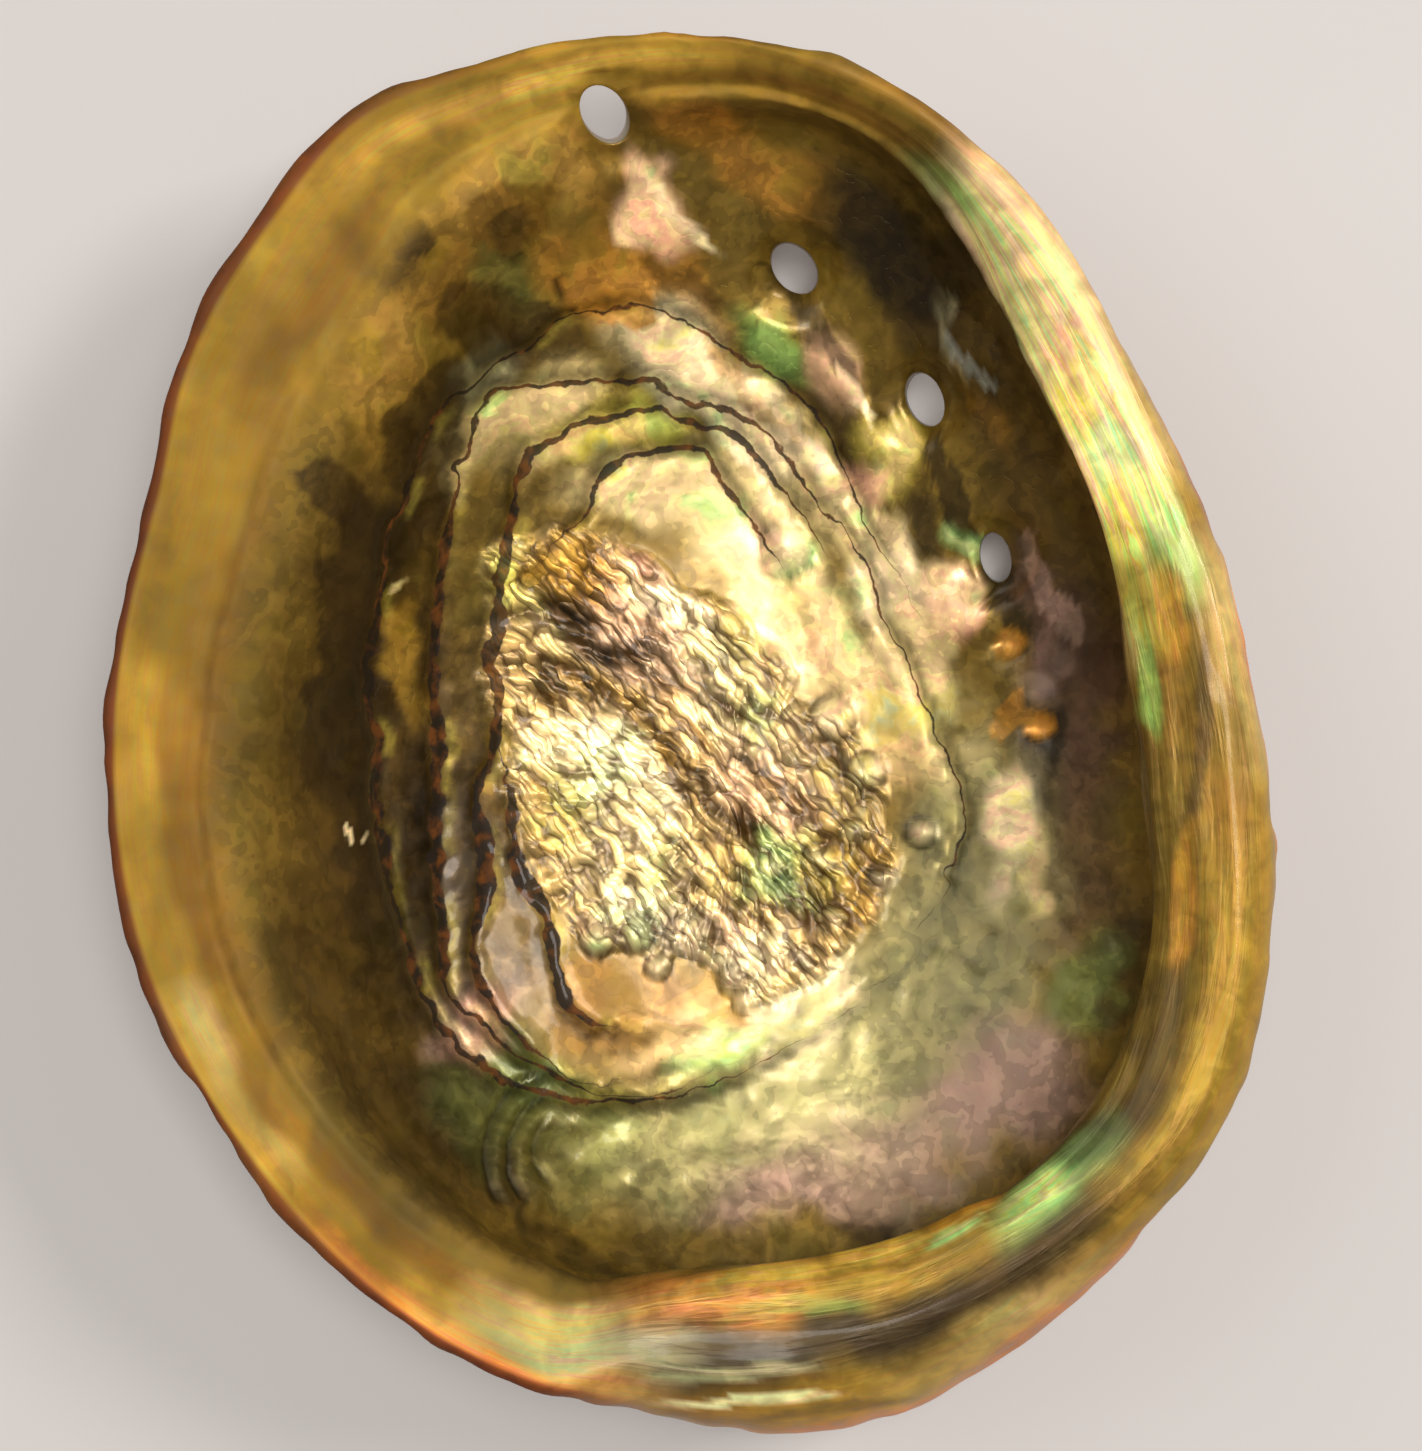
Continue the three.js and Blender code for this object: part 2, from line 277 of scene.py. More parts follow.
# Growth lines round the scar: [degrees, radius] about the scar's centre, then [degrees, half
# width], then the height of the step down across the line.
GROWTH_LINES = [
    (
        [(0, 40.5), (16, 41), (33, 40), (48, 41.5), (58, 46.5), (70, 54), (88, 60), (96, 64),
         (119, 60), (139, 53), (162, 46.5), (191, 45), (219, 51), (243, 56.5), (270, 52.5),
         (302, 47.5), (336, 48)],
        [(0, 0.06), (40, 0.12), (75, 0.3), (95, 0.2), (120, 0.25), (150, 0.35), (175, 0.55),
         (225, 0.5), (255, 0.3), (285, 0.12), (330, 0.06)],
        0.35,
    ),
    (
        [(0, 38.8), (17, 35), (35, 36), (48, 38.5), (61, 42), (73, 46), (86, 50), (110, 55.5),
         (119, 56.5), (136, 46), (148, 41.5), (166, 37), (185, 35.5), (202, 39), (217, 44),
         (231, 50.5), (258, 54), (274, 50), (293, 45.5), (312, 44.5), (340, 44.5)],
        [(0, 0.2), (45, 0.2), (80, 0.3), (110, 0.35), (130, 0.4), (150, 0.7), (185, 0.8),
         (215, 0.6), (240, 0.35), (270, 0.12), (300, 0.0), (335, 0.15)],
        0.45,
    ),
    (
        [(0, 35), (13, 32), (33, 32), (50, 35), (72, 42.5), (93, 48.5), (113, 47.7),
         (131, 38.7), (142, 33.4), (162, 28.7), (180, 27), (197, 30.8), (214, 34.2),
         (233, 47.5), (257, 52), (272, 47.5), (291, 41.5), (326, 39.8)],
        [(0, 0), (40, 0), (62, 0.25), (90, 0.5), (120, 0.5), (145, 0.75), (185, 0.7),
         (215, 0.85), (235, 0.5), (255, 0.15), (280, 0), (330, 0)],
        0.4,
    ),
    (
        [(0, 27), (44, 25.3), (74, 35.3), (85, 41.7), (96, 42), (105, 40.4), (114, 35.5),
         (128, 33.3), (144, 30), (167, 26.5), (194, 25.8), (211, 28.7), (222, 31.3),
         (236, 34.2), (246, 42), (259, 45), (279, 42), (297, 40), (317, 37), (337, 34)],
        [(0, 0), (50, 0), (70, 0.3), (90, 0.4), (108, 0.35), (125, 0.1), (180, 0.1),
         (205, 0.5), (225, 0.9), (243, 0.75), (256, 0.2), (275, 0), (330, 0)],
        0.4,
    ),
]
SCAR_EDGE = [
    (22, 19.5), (81, 21), (99, 27), (113, 33.5), (133, 39), (143, 34.3), (187, 26),
    (222, 30), (246, 32), (271, 32.8), (290, 40), (310, 41), (323, 39), (354, 28),
]
# Blisters of nacre: x, y, radius, height.
BLISTERS = [
    (14, 28, 4.2, 0.9), (21, 3, 3.6, 1.3), (26, -5, 3.1, 1.3), (34, -14, 2.4, 1.0),
    (12, -19, 2.2, 0.8), (19, -18, 2.4, 0.9), (24, -14, 2.1, 0.8), (1, -29, 2.4, 1.0),
    (-8, -29, 2.6, 1.1), (-14, -30, 2.6, 1.1), (-5, -34, 2.1, 0.8), (6, -36, 2.3, 0.9),
    (16, -33, 2.5, 0.9), (8, -39, 2.2, 0.8), (28, -21, 2.2, 0.8), (21, -27, 2.4, 0.8),
]
# Lumps of the wall between the holes and the scar: x, y, radius, height.
LUMPS = [
    (-6, 60, 6, 0.8), (1, 54, 5, 0.7), (9, 49, 5, 0.7), (19, 38, 5, 0.6), (24, 31, 4.5, 0.6),
    (30, 24, 4.5, 0.6), (35, 15, 5, 0.6), (26, 45, 6.5, 1.1), (41, 28, 5, 0.9),
    (41, 18, 6.5, 1.2), (-2, 79, 9, 1.0), (14, 61, 6, 1.0), (-14, 73, 8, 1.0),
    (-30, 76, 9, 1.2), (-43, 72, 8, 1.0), (50, 5, 5, 1.0), (49, -2, 4, 1.0), (46, 10, 4, 0.9),
]
# Creases over the inside of the spire, as arcs: centre, radius, first and last degrees, depth.
SPIRE_CREASES = [
    (-19, -61, 5, 110, 250, 0.6), (-19, -61, 8.5, 100, 235, 0.9), (-19, -61, 12, 95, 225, 0.8),
]
# Holes that the shell has filled in again.
FILLED = [(47, 14, 2.8), (51.5, 2, 2.6)]


def ring_distance(x, y, keys):
    """Signed distance in millimetres outside a closed line given in polar form about the scar,
    taken square to the line: the radial gap times the cosine of the line's slant."""
    dx, dy = x - SCAR[0], y - SCAR[1]
    degrees = np.degrees(np.arctan2(dy, dx))
    radius = around(keys, degrees)
    slant = (around(keys, degrees + 1) - around(keys, degrees - 1)) / (2 * np.radians(1))
    gap = np.hypot(dx, dy) - radius
    return gap * radius / np.hypot(radius, slant)


def wander(x, y, amount, seed):
    """A wavy offset in millimetres that makes a line wander as grown edges do."""
    return amount * (noise(x / 6, y / 6, seed) + 0.6 * noise(x / 2.2, y / 2.2, seed + 3.7))


def bumps(x, y, places):
    """Round swellings: each rises as (1 - d^2)^1.5 within its own radius."""
    total = 0
    for bx, by, radius, height in places:
        d2 = ((x - bx) ** 2 + (y - by) ** 2) / radius**2
        total = total + height * np.clip(1 - d2, 0, 1) ** 1.5
    return total


def creases(x, y):
    """Grooves along the arcs, each a bell across its line, with soft ends."""
    total = 0
    for cx, cy, radius, first, last, depth in SPIRE_CREASES:
        degrees = np.degrees(np.arctan2(y - cy, x - cx)) % 360
        d = np.hypot(x - cx, y - cy) - radius + wander(x, y, 0.5, radius)
        ends = smooth(first, first + 15, degrees) * (1 - smooth(last - 15, last, degrees))
        total = total + depth * ends * bell(d, 0.6)
    return total


def hole_distance(x, y):
    """Distance in plan to the nearest open hole's middle, in millimetres."""
    return np.min([np.hypot(x - hole[0][0], y - hole[0][1]) for hole in HOLES], axis=0)


def growth(x, y):
    """Growth age and bearing about the spire's centre: the natural logarithm of the distance
    from it in millimetres, and the direction in radians."""
    dx, dy = x - APEX[0], y - APEX[1]
    return np.log(np.hypot(dx, dy) + 1e-3), np.arctan2(dy, dx)


# ---- relief and finish fields -------------------------------------------------------------

LINE_WIDTH = 1.55  # growth lines are this many times their stated half width
STEP_HEIGHT = 1.3  # and their steps are this many times their stated height
GROOVE_DEPTH = 0.46  # depth of the groove along a growth line
SCAR_GRAIN = -50  # degrees: the way the scar's flakes run at its middle
GRAIN_TURN = 0.012  # radians that the grain turns through for each millimetre of x - y
COLLAR_HEIGHT = 1.5  # raised collar round each hole on the back
COLLAR_AT = 5.2  # and the distance of its crest from the hole's middle
CLEAR_OF_HOLE = (4.6, 7.5)  # the relief inside comes back between these distances from a hole


def regions(degrees, v):
    """The share of each place that is bowl, rim, shelf or back, and how far across the rim it
    lies, from 0 at the bowl's brim to 1 at the widest line. The border between bowl and rim is
    soft on the lip and sharp on the shelf."""
    folded = np.clip(around(COLUMN_AT_RIM, degrees) + around(SPIRE_AT_RIM, degrees), 0, 1)
    brim = BRIM_AT + (SHELF_EDGE_AT - BRIM_AT) * folded
    widest = LIP_WIDEST_AT + (SHELF_WIDEST_AT - LIP_WIDEST_AT) * folded
    soft = 0.05 - 0.042 * folded
    inner = 1 - smooth(-soft, 0.6 * soft, v - brim)
    back = smooth(0.0, 0.05, v - widest)
    rim = np.clip(1 - inner - back, 0, 1)
    out = (v - brim) / (widest - brim)
    return {
        "inner": inner, "back": back, "rim": rim, "folded": folded, "shelf": rim * folded,
        "across": np.clip(out, 0, 1.3), "past_widest": v - widest,
        "worn": rim * smooth(0.5, 0.8, out) * folded,
        "satin": smooth(5 / LAST, 7.5 / LAST, v) * (1 - folded) * (1 - back),
    }


def growth_steps(x, y, f):
    """A smooth step down across each growth line, with a bell-shaped groove along it. The
    finish needs each line's distance and half width, and masks for a painted highlight along its
    upper edge and painted shade at its foot."""
    relief, lit, shaded, gaps, widths = 0, 0, 0, [], []
    bearing = np.degrees(np.arctan2(y - SCAR[1], x - SCAR[0]))
    for number, (ring, width, step) in enumerate(GROWTH_LINES):
        d = ring_distance(x, y, ring) + wander(x, y, 0.9, 5.1 * number)
        w = LINE_WIDTH * np.clip(around(width, bearing), 0, 2) * f["inner"]
        w = w * (1 + 0.6 * noise(x / 3, y / 3, number + 0.5))
        seen = smooth(0, 0.3, w)
        relief = relief + STEP_HEIGHT * step * smooth(-0.6, 0.6, d) * (0.35 + 0.65 * seen)
        relief = relief - GROOVE_DEPTH * seen * bell(d, 0.5 + w)
        # masks for a painted highlight along the line's upper edge and painted shade at its foot
        patchy = smooth(-0.3, 0.5, noise(x / 5, y / 5, 40.0 + number))
        lit = np.maximum(lit, seen * patchy * bell(d + w + 0.6, 0.6))
        shaded = np.maximum(shaded, seen * bell(d - w - 0.9, 1.1))
        gaps.append(np.clip(d, -4, 4))
        widths.append(w - 0.16)
    f["gaps"], f["widths"] = np.array(gaps), np.array(widths)
    f["lit"], f["shaded"] = lit, shaded
    return relief


def scar_flakes(x, y, f):
    """The muscle scar's flakes: long ridges and shorter ones, each 1 - 2|noise|, drawn out along
    a grain that turns slowly across the scar."""
    gap = ring_distance(x, y, SCAR_EDGE) + wander(x, y, 1.6, 31.0)
    f["scar"] = f["inner"] * (1 - smooth(-2.2, 0.6, gap))
    turn = math.radians(SCAR_GRAIN) - GRAIN_TURN * (x - y)
    along = x * np.cos(turn) + y * np.sin(turn)
    athwart = -x * np.sin(turn) + y * np.cos(turn) + 3 * noise(x / 11, y / 11, 3.3)
    ridge = 1 - 2 * np.abs(noise(along / 7.5, athwart / 2.5, 1.7))
    flake = 1 - 2 * np.abs(noise(along / 3.4, athwart / 1.25, 8.2))
    f["flake"] = 0.62 * ridge + 0.38 * flake
    return f["scar"] * (f["flake"] + 0.3)


def bowl_relief(x, y, z, f):
    """Blisters, lumps, creases, filled holes and a gentle swell, and a mask of painted shade in a
    fine ring round each blister.
    """
    inner = f["inner"]
    blisters = bumps(x, y, BLISTERS)
    f["blister"] = np.clip(blisters, 0, 1) * inner
    moats = [bell(np.hypot(x - bx, y - by) / radius - 1, 0.16) for bx, by, radius, _ in BLISTERS]
    f["moat"] = np.max(moats, axis=0) * inner
    f["crease"] = inner * creases(x, y)
    plugs = bumps(x, y, [(*place, -0.9) for place in FILLED])
    f["plug"] = inner * np.clip(-plugs * 2, 0, 1)
    swell = 0.9 * (1 - f["scar"]) * cloud(x, y, 30, 3, 2.0) * smooth(8, 30, z)
    return inner * (blisters + bumps(x, y, LUMPS) + plugs + swell) - f["crease"]


def rim_relief(x, y, degrees, f):
    """An uneven outer edge, low waves over the lip, and fine ridges and waves on the shelf."""
    uneven = 0.8 * round_noise(degrees, 7, 61.5) + 0.4 * round_noise(degrees, 2.5, 63.5)
    across = f["across"]
    waves = 0.45 * round_noise(degrees, 9, across * 2.5 + 4.0) + 0.5 * cloud(x, y, 24, 2, 9.0)
    ridges = np.sin(across * 34 + 3 * round_noise(degrees, 20, across * 2 + 6.0))
    shelf_waves = round_noise(degrees, 16, across * 5 + 2.5)
    relief = bell(f["past_widest"], 0.05) * uneven + f["rim"] * (1 - f["shelf"]) * waves
    return relief + f["shelf"] * (0.11 * ridges + 0.25 * shelf_waves)


def back_relief(x, y, z, age, bearing, f):
    """Growth rings and cords on the back, both sines swayed by noise, and a collar round each
    hole. They fade out on the worn crown."""
    rings = np.sin(age * 95 + 11 * bearing + 3 * cloud(x, y, 26, 2, 5.0))
    cords = np.sin(bearing * 34 + age * 12 + 2 * noise(x / 20, y / 20, 7.0))
    lift = 0.3 * rings + 0.22 * cords * (0.6 + 0.4 * rings) + 0.7 * cloud(x, y, 18, 3, 12.0)
    off_crown = smooth(13, 24, np.hypot(x - POLE[0], y - POLE[1]))
    collar = COLLAR_HEIGHT * bell(hole_distance(x, y) - COLLAR_AT, 2.0)
    return f["back"] * off_crown * (lift * smooth(0.5, 6, z) + collar)


def fields(x, y, z, degrees, v):
    """Everything that varies over the shell, as arrays with a value for each place. The relief
    in millimetres dies away at the holes on the inside."""
    f = regions(degrees, v)
    age, bearing = growth(x, y)
    relief = growth_steps(x, y, f) + scar_flakes(x, y, f) + bowl_relief(x, y, z, f)
    relief = relief + rim_relief(x, y, degrees, f) + back_relief(x, y, z, age, bearing, f)
    clear = smooth(*CLEAR_OF_HOLE, hole_distance(x, y))
    f["relief"] = relief * np.where(v < 0.5, clear, 1)
    f["cloudy"] = 1 + 0.26 * cloud(x, y, 20, 3, 33.0) + 0.1 * noise(x / 2.5, y / 2.5, 36.0)
    turn = np.radians(degrees)
    f["rim_grain"] = np.stack([5 * np.cos(turn), 5 * np.sin(turn), 17 * f["across"]])
    f["growth_grain"] = np.stack([5 * np.cos(bearing), 5 * np.sin(bearing), 16 * age])
    return f


# ---- tints --------------------------------------------------------------------------------


def tint(hexadecimal):
    """A named paint's #rrggbb as linear red, green and blue."""
    parts = [int(hexadecimal[i : i + 2], 16) / 255 for i in (1, 3, 5)]
    return np.array([c / 12.92 if c <= 0.04045 else ((c + 0.055) / 1.055) ** 2.4 for c in parts])


PAINT_CODES = {
    "shade_and_mark_black": "#1c1405", "umber": "#2e1f08", "dark_olive": "#46320d", "olive": "#6e561c",
    "bronze": "#7a5516", "gold": "#94701f", "bright_gold": "#bd8f30", "amber": "#b27716",
    "cream": "#dcc68e", "pearl": "#f3e6c6", "rose": "#f6c3a8", "pink": "#f2a598",
    "aqua": "#a5d8c4", "mauve": "#937470", "plum": "#4a322c", "moss": "#5f6a38",
    "mint": "#9fd886", "leaf": "#79a854", "lemon": "#e6d24a", "steel": "#a9b2b8",
    "sage": "#857f58", "oyster": "#b0a78a", "rust": "#96491f", "maroon": "#5c1f0c",
    "orange": "#c8702e", "sand": "#c3a06a",
}
PAINT = {name: tint(code) for name, code in PAINT_CODES.items()}

# Soft patches of colour in the bowl: paint, x, y, half length, half width, turn, strength.
BOWL_PATCHES = [
    # the dark olive and umber patches down the left wall are its own olive darkened further as
    # painted shade on the steep wall
    ("dark_olive", -50, 2, 40, 11, 84, 0.85), ("umber", -49, 18, 22, 6, 80, 0.6),
    ("dark_olive", -44, -38, 26, 13, 120, 0.7), ("umber", -37, -58, 18, 7, 140, 0.6),
    ("bright_gold", -38, 60, 20, 10, 60, 0.6), ("dark_olive", -33, 50, 16, 7, 70, 0.7),
    ("bronze", -34, 66, 12, 8, 40, 0.6), ("umber", -46, 30, 9, 4, 20, 0.8),
    ("gold", -40, 74, 16, 8, 30, 0.7), ("umber", -44, 68, 6, 5, 0, 0.6),
    ("bright_gold", -26, 80, 12, 8, 0, 0.7), ("bronze", -10, 70, 14, 10, 0, 0.7),
    ("moss", -25, 68, 6, 7, 0, 0.6), ("gold", -20, 66, 3, 7, 10, 0.7),
    ("amber", -8, 67, 13, 8, -20, 0.9), ("rose", -5, 77, 8, 4, -35, 0.9),
    # the blackest patch at (30, 73) is painted shadow under the shelf's overhang; the umber, dark
    # olive and plum patches down the wall under the shelf, to (62, -34), are that wall's own
    # colour with painted shadow laid in
    ("amber", 10, 84, 20, 5, -20, 0.7), ("shade_and_mark_black", 30, 73, 18, 9, -48, 0.9),
    ("umber", 42, 58, 22, 9, -62, 0.6), ("dark_olive", 54, 30, 28, 9, -72, 0.8),
    ("plum", 50, 22, 10, 5, -72, 0.8), ("plum", 56, 6, 20, 8, -84, 0.8),
    ("plum", 58, -14, 18, 8, 90, 0.6), ("oyster", 40, 60, 7, 1.2, -62, 0.5),
    ("bronze", 46, 46, 8, 2.5, -60, 0.6), ("mauve", 52, 12, 7, 2.0, -80, 0.7),
    ("shade_and_mark_black", 62, -34, 12, 4, 80, 0.6),
    ("leaf", 11, 59, 7, 4, -35, 0.95), ("rose", 20, 56, 5, 5, -40, 0.7),
    ("lemon", 28, 44, 6, 5, -50, 0.8), ("pink", 25, 40, 4, 4, -50, 0.8),
    ("dark_olive", 20, 50, 12, 4, -55, 0.7), ("shade_and_mark_black", 33, 33, 6, 3, -60, 0.7),
    ("pink", 38, 19, 7, 4.5, -75, 0.8), ("cream", 36, 24, 4, 3, -60, 0.6),
    ("mint", 41, 30, 5, 2, -30, 0.8), ("umber", 34, 6, 5, 2.5, -60, 0.6),
    ("oyster", -6, 60, 9, 7, 20, 0.9), ("pearl", -3, 55, 8, 6, -20, 0.8),
    ("pearl", 7, 49, 9, 6, -35, 0.9), ("cream", 15, 42, 9, 6, -50, 0.9),
    # the steel streak at (20, 39) is a painted glint on the pearly band
    ("steel", 20, 39, 10, 2.2, -58, 0.8), ("cream", 23, 33, 9, 5, -55, 0.9),
    ("pearl", 29, 23, 9, 5, -62, 0.9), ("cream", 34, 12, 9, 5, -70, 0.9),
    ("cream", 37, 1, 9, 5, -80, 0.8), ("cream", 44, -8, 10, 7, 80, 0.85),
    # these two thin pearl streaks are painted highlights along ridge edges between the holes
    ("pearl", -1, 76, 8, 1.0, -36, 0.8), ("pearl", 24, 53, 4, 0.9, -50, 0.8),
    ("sage", 42, -20, 26, 14, 80, 0.8), ("sage", 30, -45, 24, 14, 40, 0.85),
    ("sage", 10, -58, 26, 12, 5, 0.9), ("mauve", 22, -62, 24, 9, 12, 0.7),
    ("mauve", 47, -51, 12, 10, 50, 0.9), ("moss", 58, -36, 9, 5, 70, 0.7),
    ("mauve", -30, -40, 9, 8, 20, 0.45), ("moss", -24, -56, 18, 10, -30, 0.6),
    ("dark_olive", -37, -2, 36, 9, 88, 0.9), ("umber", -40, -18, 18, 4, 95, 0.7),
    ("gold", -41, 10, 10, 2.5, 88, 0.8), ("gold", -31, -14, 14, 2, 92, 0.6),
    ("olive", -33, 10, 16, 2, 88, 0.7), ("cream", -30, 42, 9, 4, 60, 0.7),
    ("oyster", -30, 52, 6, 4, 60, 0.5), ("cream", -22, 46, 10, 6, 50, 0.8),
    ("lemon", -12, 46, 10, 4, 10, 0.6), ("cream", -6, 38, 12, 6, 10, 0.8),
    ("cream", 8, 32, 12, 8, -35, 0.8), ("cream", 16, 16, 14, 9, -50, 0.9),
    ("rose", 8, 30, 6, 4, -35, 0.6), ("mint", 14, 27, 3.5, 3, -50, 0.9),
    ("sand", 20, 14, 8, 5, -50, 0.6), ("lemon", 16, 19, 5, 3, -50, 0.5),
    ("sand", 30, 2, 10, 6, -60, 0.7), ("cream", 26, 8, 8, 6, -50, 0.6),
    ("olive", -14, -40, 9, 8, 0, 0.7), ("sand", 0, -44, 12, 4, 20, 0.8),
    ("bronze", -9, -40, 9, 6, 10, 0.9), ("gold", 3, -38, 7, 4, 20, 0.7),
    ("mint", 4, -46, 10, 2.5, 25, 0.8), ("oyster", 16, -40, 12, 6, 40, 0.7),
    ("olive", -26, -44, 8, 6, 0, 0.7), ("moss", -26, -48, 10, 3, -25, 0.7),
    ("pink", -32, -43, 7, 5, 40, 0.45),
    # these dark lines lie along the spire's creases, as painted shade in them
    ("shade_and_mark_black", -24, -66, 11, 2.2, -62, 0.6), ("shade_and_mark_black", -14, -74, 9, 2.0, -30, 0.6),
    ("umber", -52, 2, 20, 1.6, 84, 0.8), ("umber", -49, -20, 14, 1.4, 98, 0.7),
    ("umber", 25, -71, 5, 3, 0, 0.7), ("pearl", 49, -13, 9, 4.5, 75, 0.8),
    ("mauve", 10, -68, 12, 3, 5, 0.6), ("dark_olive", -24, -62, 9, 9, 0, 0.5),
    ("bronze", -12, -42, 8, 5, 20, 0.7), ("cream", 52, -20, 6, 2, 80, 0.5),
    ("umber", 54, -4, 14, 2.5, 88, 0.7), ("sage", 8, -56, 16, 7, 0, 0.7),
    ("dark_olive", -29, -26, 21, 5, 97, 0.8), ("bronze", -12, -38, 11, 7, 15, 0.85),
    ("dark_olive", -34, 4, 13, 4, 88, 0.6), ("sand", 26, 3, 8, 6, -60, 0.7),
    ("rose", 38, 21, 6.5, 5, -75, 0.8), ("pearl", 9.6, 46.6, 9, 5, -35, 0.8),
    ("olive", -27, 38, 8, 4, 60, 0.6), ("mauve", -36, -44, 6, 5, 30, 0.6),
]
# Stains and bare spots with a clear edge, with painted shade and a painted highlight among them
# where marked.
CRISP_PATCHES = [
    ("umber", -52, 34, 5.5, 5, 5, 0.7), ("umber", -50, 8, 28, 6, 86, 0.65),
    ("umber", -46, -26, 18, 5, 104, 0.55), ("umber", -37, 42, 14, 5.5, 78, 0.7),
    ("umber", -27, 59, 11, 6, -15, 0.65), ("umber", -41.5, 72.5, 4.5, 4, 30, 0.75),
    ("bronze", -26, 74, 6, 6, 0, 0.8), ("dark_olive", -25, 72, 3, 5, 0, 0.7),
    ("umber", -17, 66, 1.5, 4, 0, 0.8), ("amber", -11, 66, 7, 6, -30, 0.8),
    ("bronze", -9, 64, 4, 2.5, -40, 0.7), ("umber", 2, 66, 9, 2, -35, 0.6),
    # the thin pearl streak at (-1.5, 76.5) is a painted highlight along a ridge edge
    ("pearl", -1.5, 76.5, 7, 0.8, -42, 0.9), ("amber", 8, 52, 12, 1.6, -42, 0.6),
    # the blackish streaks at (18, 62), (38, 38), (46, 20) and (55, -2) are the steep wall's own
    # dark colour with painted shade laid in
    ("shade_and_mark_black", 18, 62, 10, 2, -50, 0.7), ("shade_and_mark_black", 38, 38, 9, 2.5, -65, 0.7),
    ("shade_and_mark_black", 46, 20, 9, 2, -75, 0.7), ("plum", 53, 12, 7, 3, -80, 0.6),
    ("amber", 49, 4, 3, 2.4, -80, 0.7), ("shade_and_mark_black", 55, -2, 6, 2, -85, 0.6),
    ("steel", 44, 56, 7, 0.8, -55, 0.5), ("mauve", 52, 24, 8, 2.5, -68, 0.6),
    ("pearl", -52.5, -12.5, 1.7, 0.7, -60, 0.8), ("pearl", -49.5, -13.5, 1.4, 0.5, 60, 0.7),
    ("cream", -44, 22, 1.6, 0.7, 80, 0.6), ("shade_and_mark_black", -56, 10, 9, 0.9, 88, 0.6),
]
# Patches of colour on the muscle scar.
SCAR_PATCHES = [
    ("lemon", -22, 24, 8, 6, -45, 0.5), ("amber", -15, 22, 12, 5, -45, 0.8),
    ("dark_olive", -18, 10, 6, 4, -40, 0.8),
    ("cream", -20, 18, 5, 3, -45, 0.6),
    ("rose", -4, 12, 14, 7, -45, 0.9), ("pearl", -2, 16, 12, 3, -48, 0.8),
    ("pearl", -14, -7, 12, 8, -45, 0.9), ("bronze", -8, 2, 14, 2.5, -48, 0.7),
    ("cream", 6, 4, 16, 8, -45, 0.8), ("rose", 10, -8, 12, 7, -45, 0.7),
    ("amber", -3, 4, 9, 1.6, -45, 0.6), ("dark_olive", 12, -26, 9, 3, -15, 0.6),
    ("umber", 5, -12, 12, 1.5, -48, 0.6), ("pink", -9, 26, 4, 2, -45, 0.6),
    ("cream", -10, -18, 12, 8, -30, 0.8), ("mint", 14, -22, 9, 6, -20, 0.6),
    ("rose", -4, -30, 12, 5, 0, 0.7), ("pearl", 4, -34, 8, 4, 10, 0.7),
    ("bright_gold", 22, -22, 9, 8, 60, 0.8), ("bright_gold", -20, -12, 6, 9, 0, 0.6),
    ("shade_and_mark_black", -13, 16.5, 10, 4.5, -48, 0.95), ("umber", 6, -14, 8, 1.5, -45, 0.7),
    ("bronze", 14, -10, 9, 2, -50, 0.7), ("umber", -4, -1, 9, 1.3, -45, 0.6),
    ("pearl", -4, -27, 9, 5, -20, 0.7),
]
# Patches of colour on the shelf.
SHELF_PATCHES = [
    ("mint", 32, 79, 5, 3, -60, 0.8), ("pink", 34, 72, 4.5, 4, -50, 0.8),
    ("rose", 39, 67, 7, 4, -55, 0.8), ("pearl", 47, 60, 9, 4, -58, 0.8),
    ("pink", 53, 54, 4, 4, -60, 0.7), ("lemon", 54, 46, 6, 3, -65, 0.8),
    ("aqua", 59, 41, 5, 2.5, -60, 0.8), ("rose", 57, 34, 6, 2, -70, 0.7),
    ("lemon", 60, 30, 7, 2, -72, 0.8), ("amber", 66, 17, 8, 2.5, -78, 0.8),
    ("leaf", 63, 8, 9, 1.5, -82, 0.6), ("umber", 70, 0, 16, 1.2, 88, 0.6),
    ("amber", 68, -22, 12, 2, 82, 0.7), ("dark_olive", 64, -38, 9, 3, 68, 0.7),
    ("leaf", 55, -49, 7, 2, 50, 0.8), ("mint", 47, -58, 7, 2, 38, 0.8),
    ("umber", 54, -56, 6, 3, 45, 0.6), ("amber", 38, -65, 7, 2.5, 28, 0.7),
    ("bright_gold", 26, -70.5, 8, 2, 15, 0.8), ("mint", 36, -68, 5, 1, 30, 0.7),
    ("bright_gold", 10, -75, 9, 2, 3, 0.9),
    ("orange", -8, -76, 7, 2.5, 0, 0.7), ("leaf", 14, -79, 12, 1.4, 5, 0.3),
    # the thin oyster and pearl streaks at y -87 and -91 are painted highlights along the glossy
    # rim at the spire end
    ("dark_olive", 5, -83, 16, 1.5, 0, 0.5), ("oyster", 5, -87, 14, 1.0, 0, 0.7),
    ("pearl", 8, -91, 14, 0.8, 0, 0.8), ("umber", 20, -93, 12, 1.2, 6, 0.5),
]
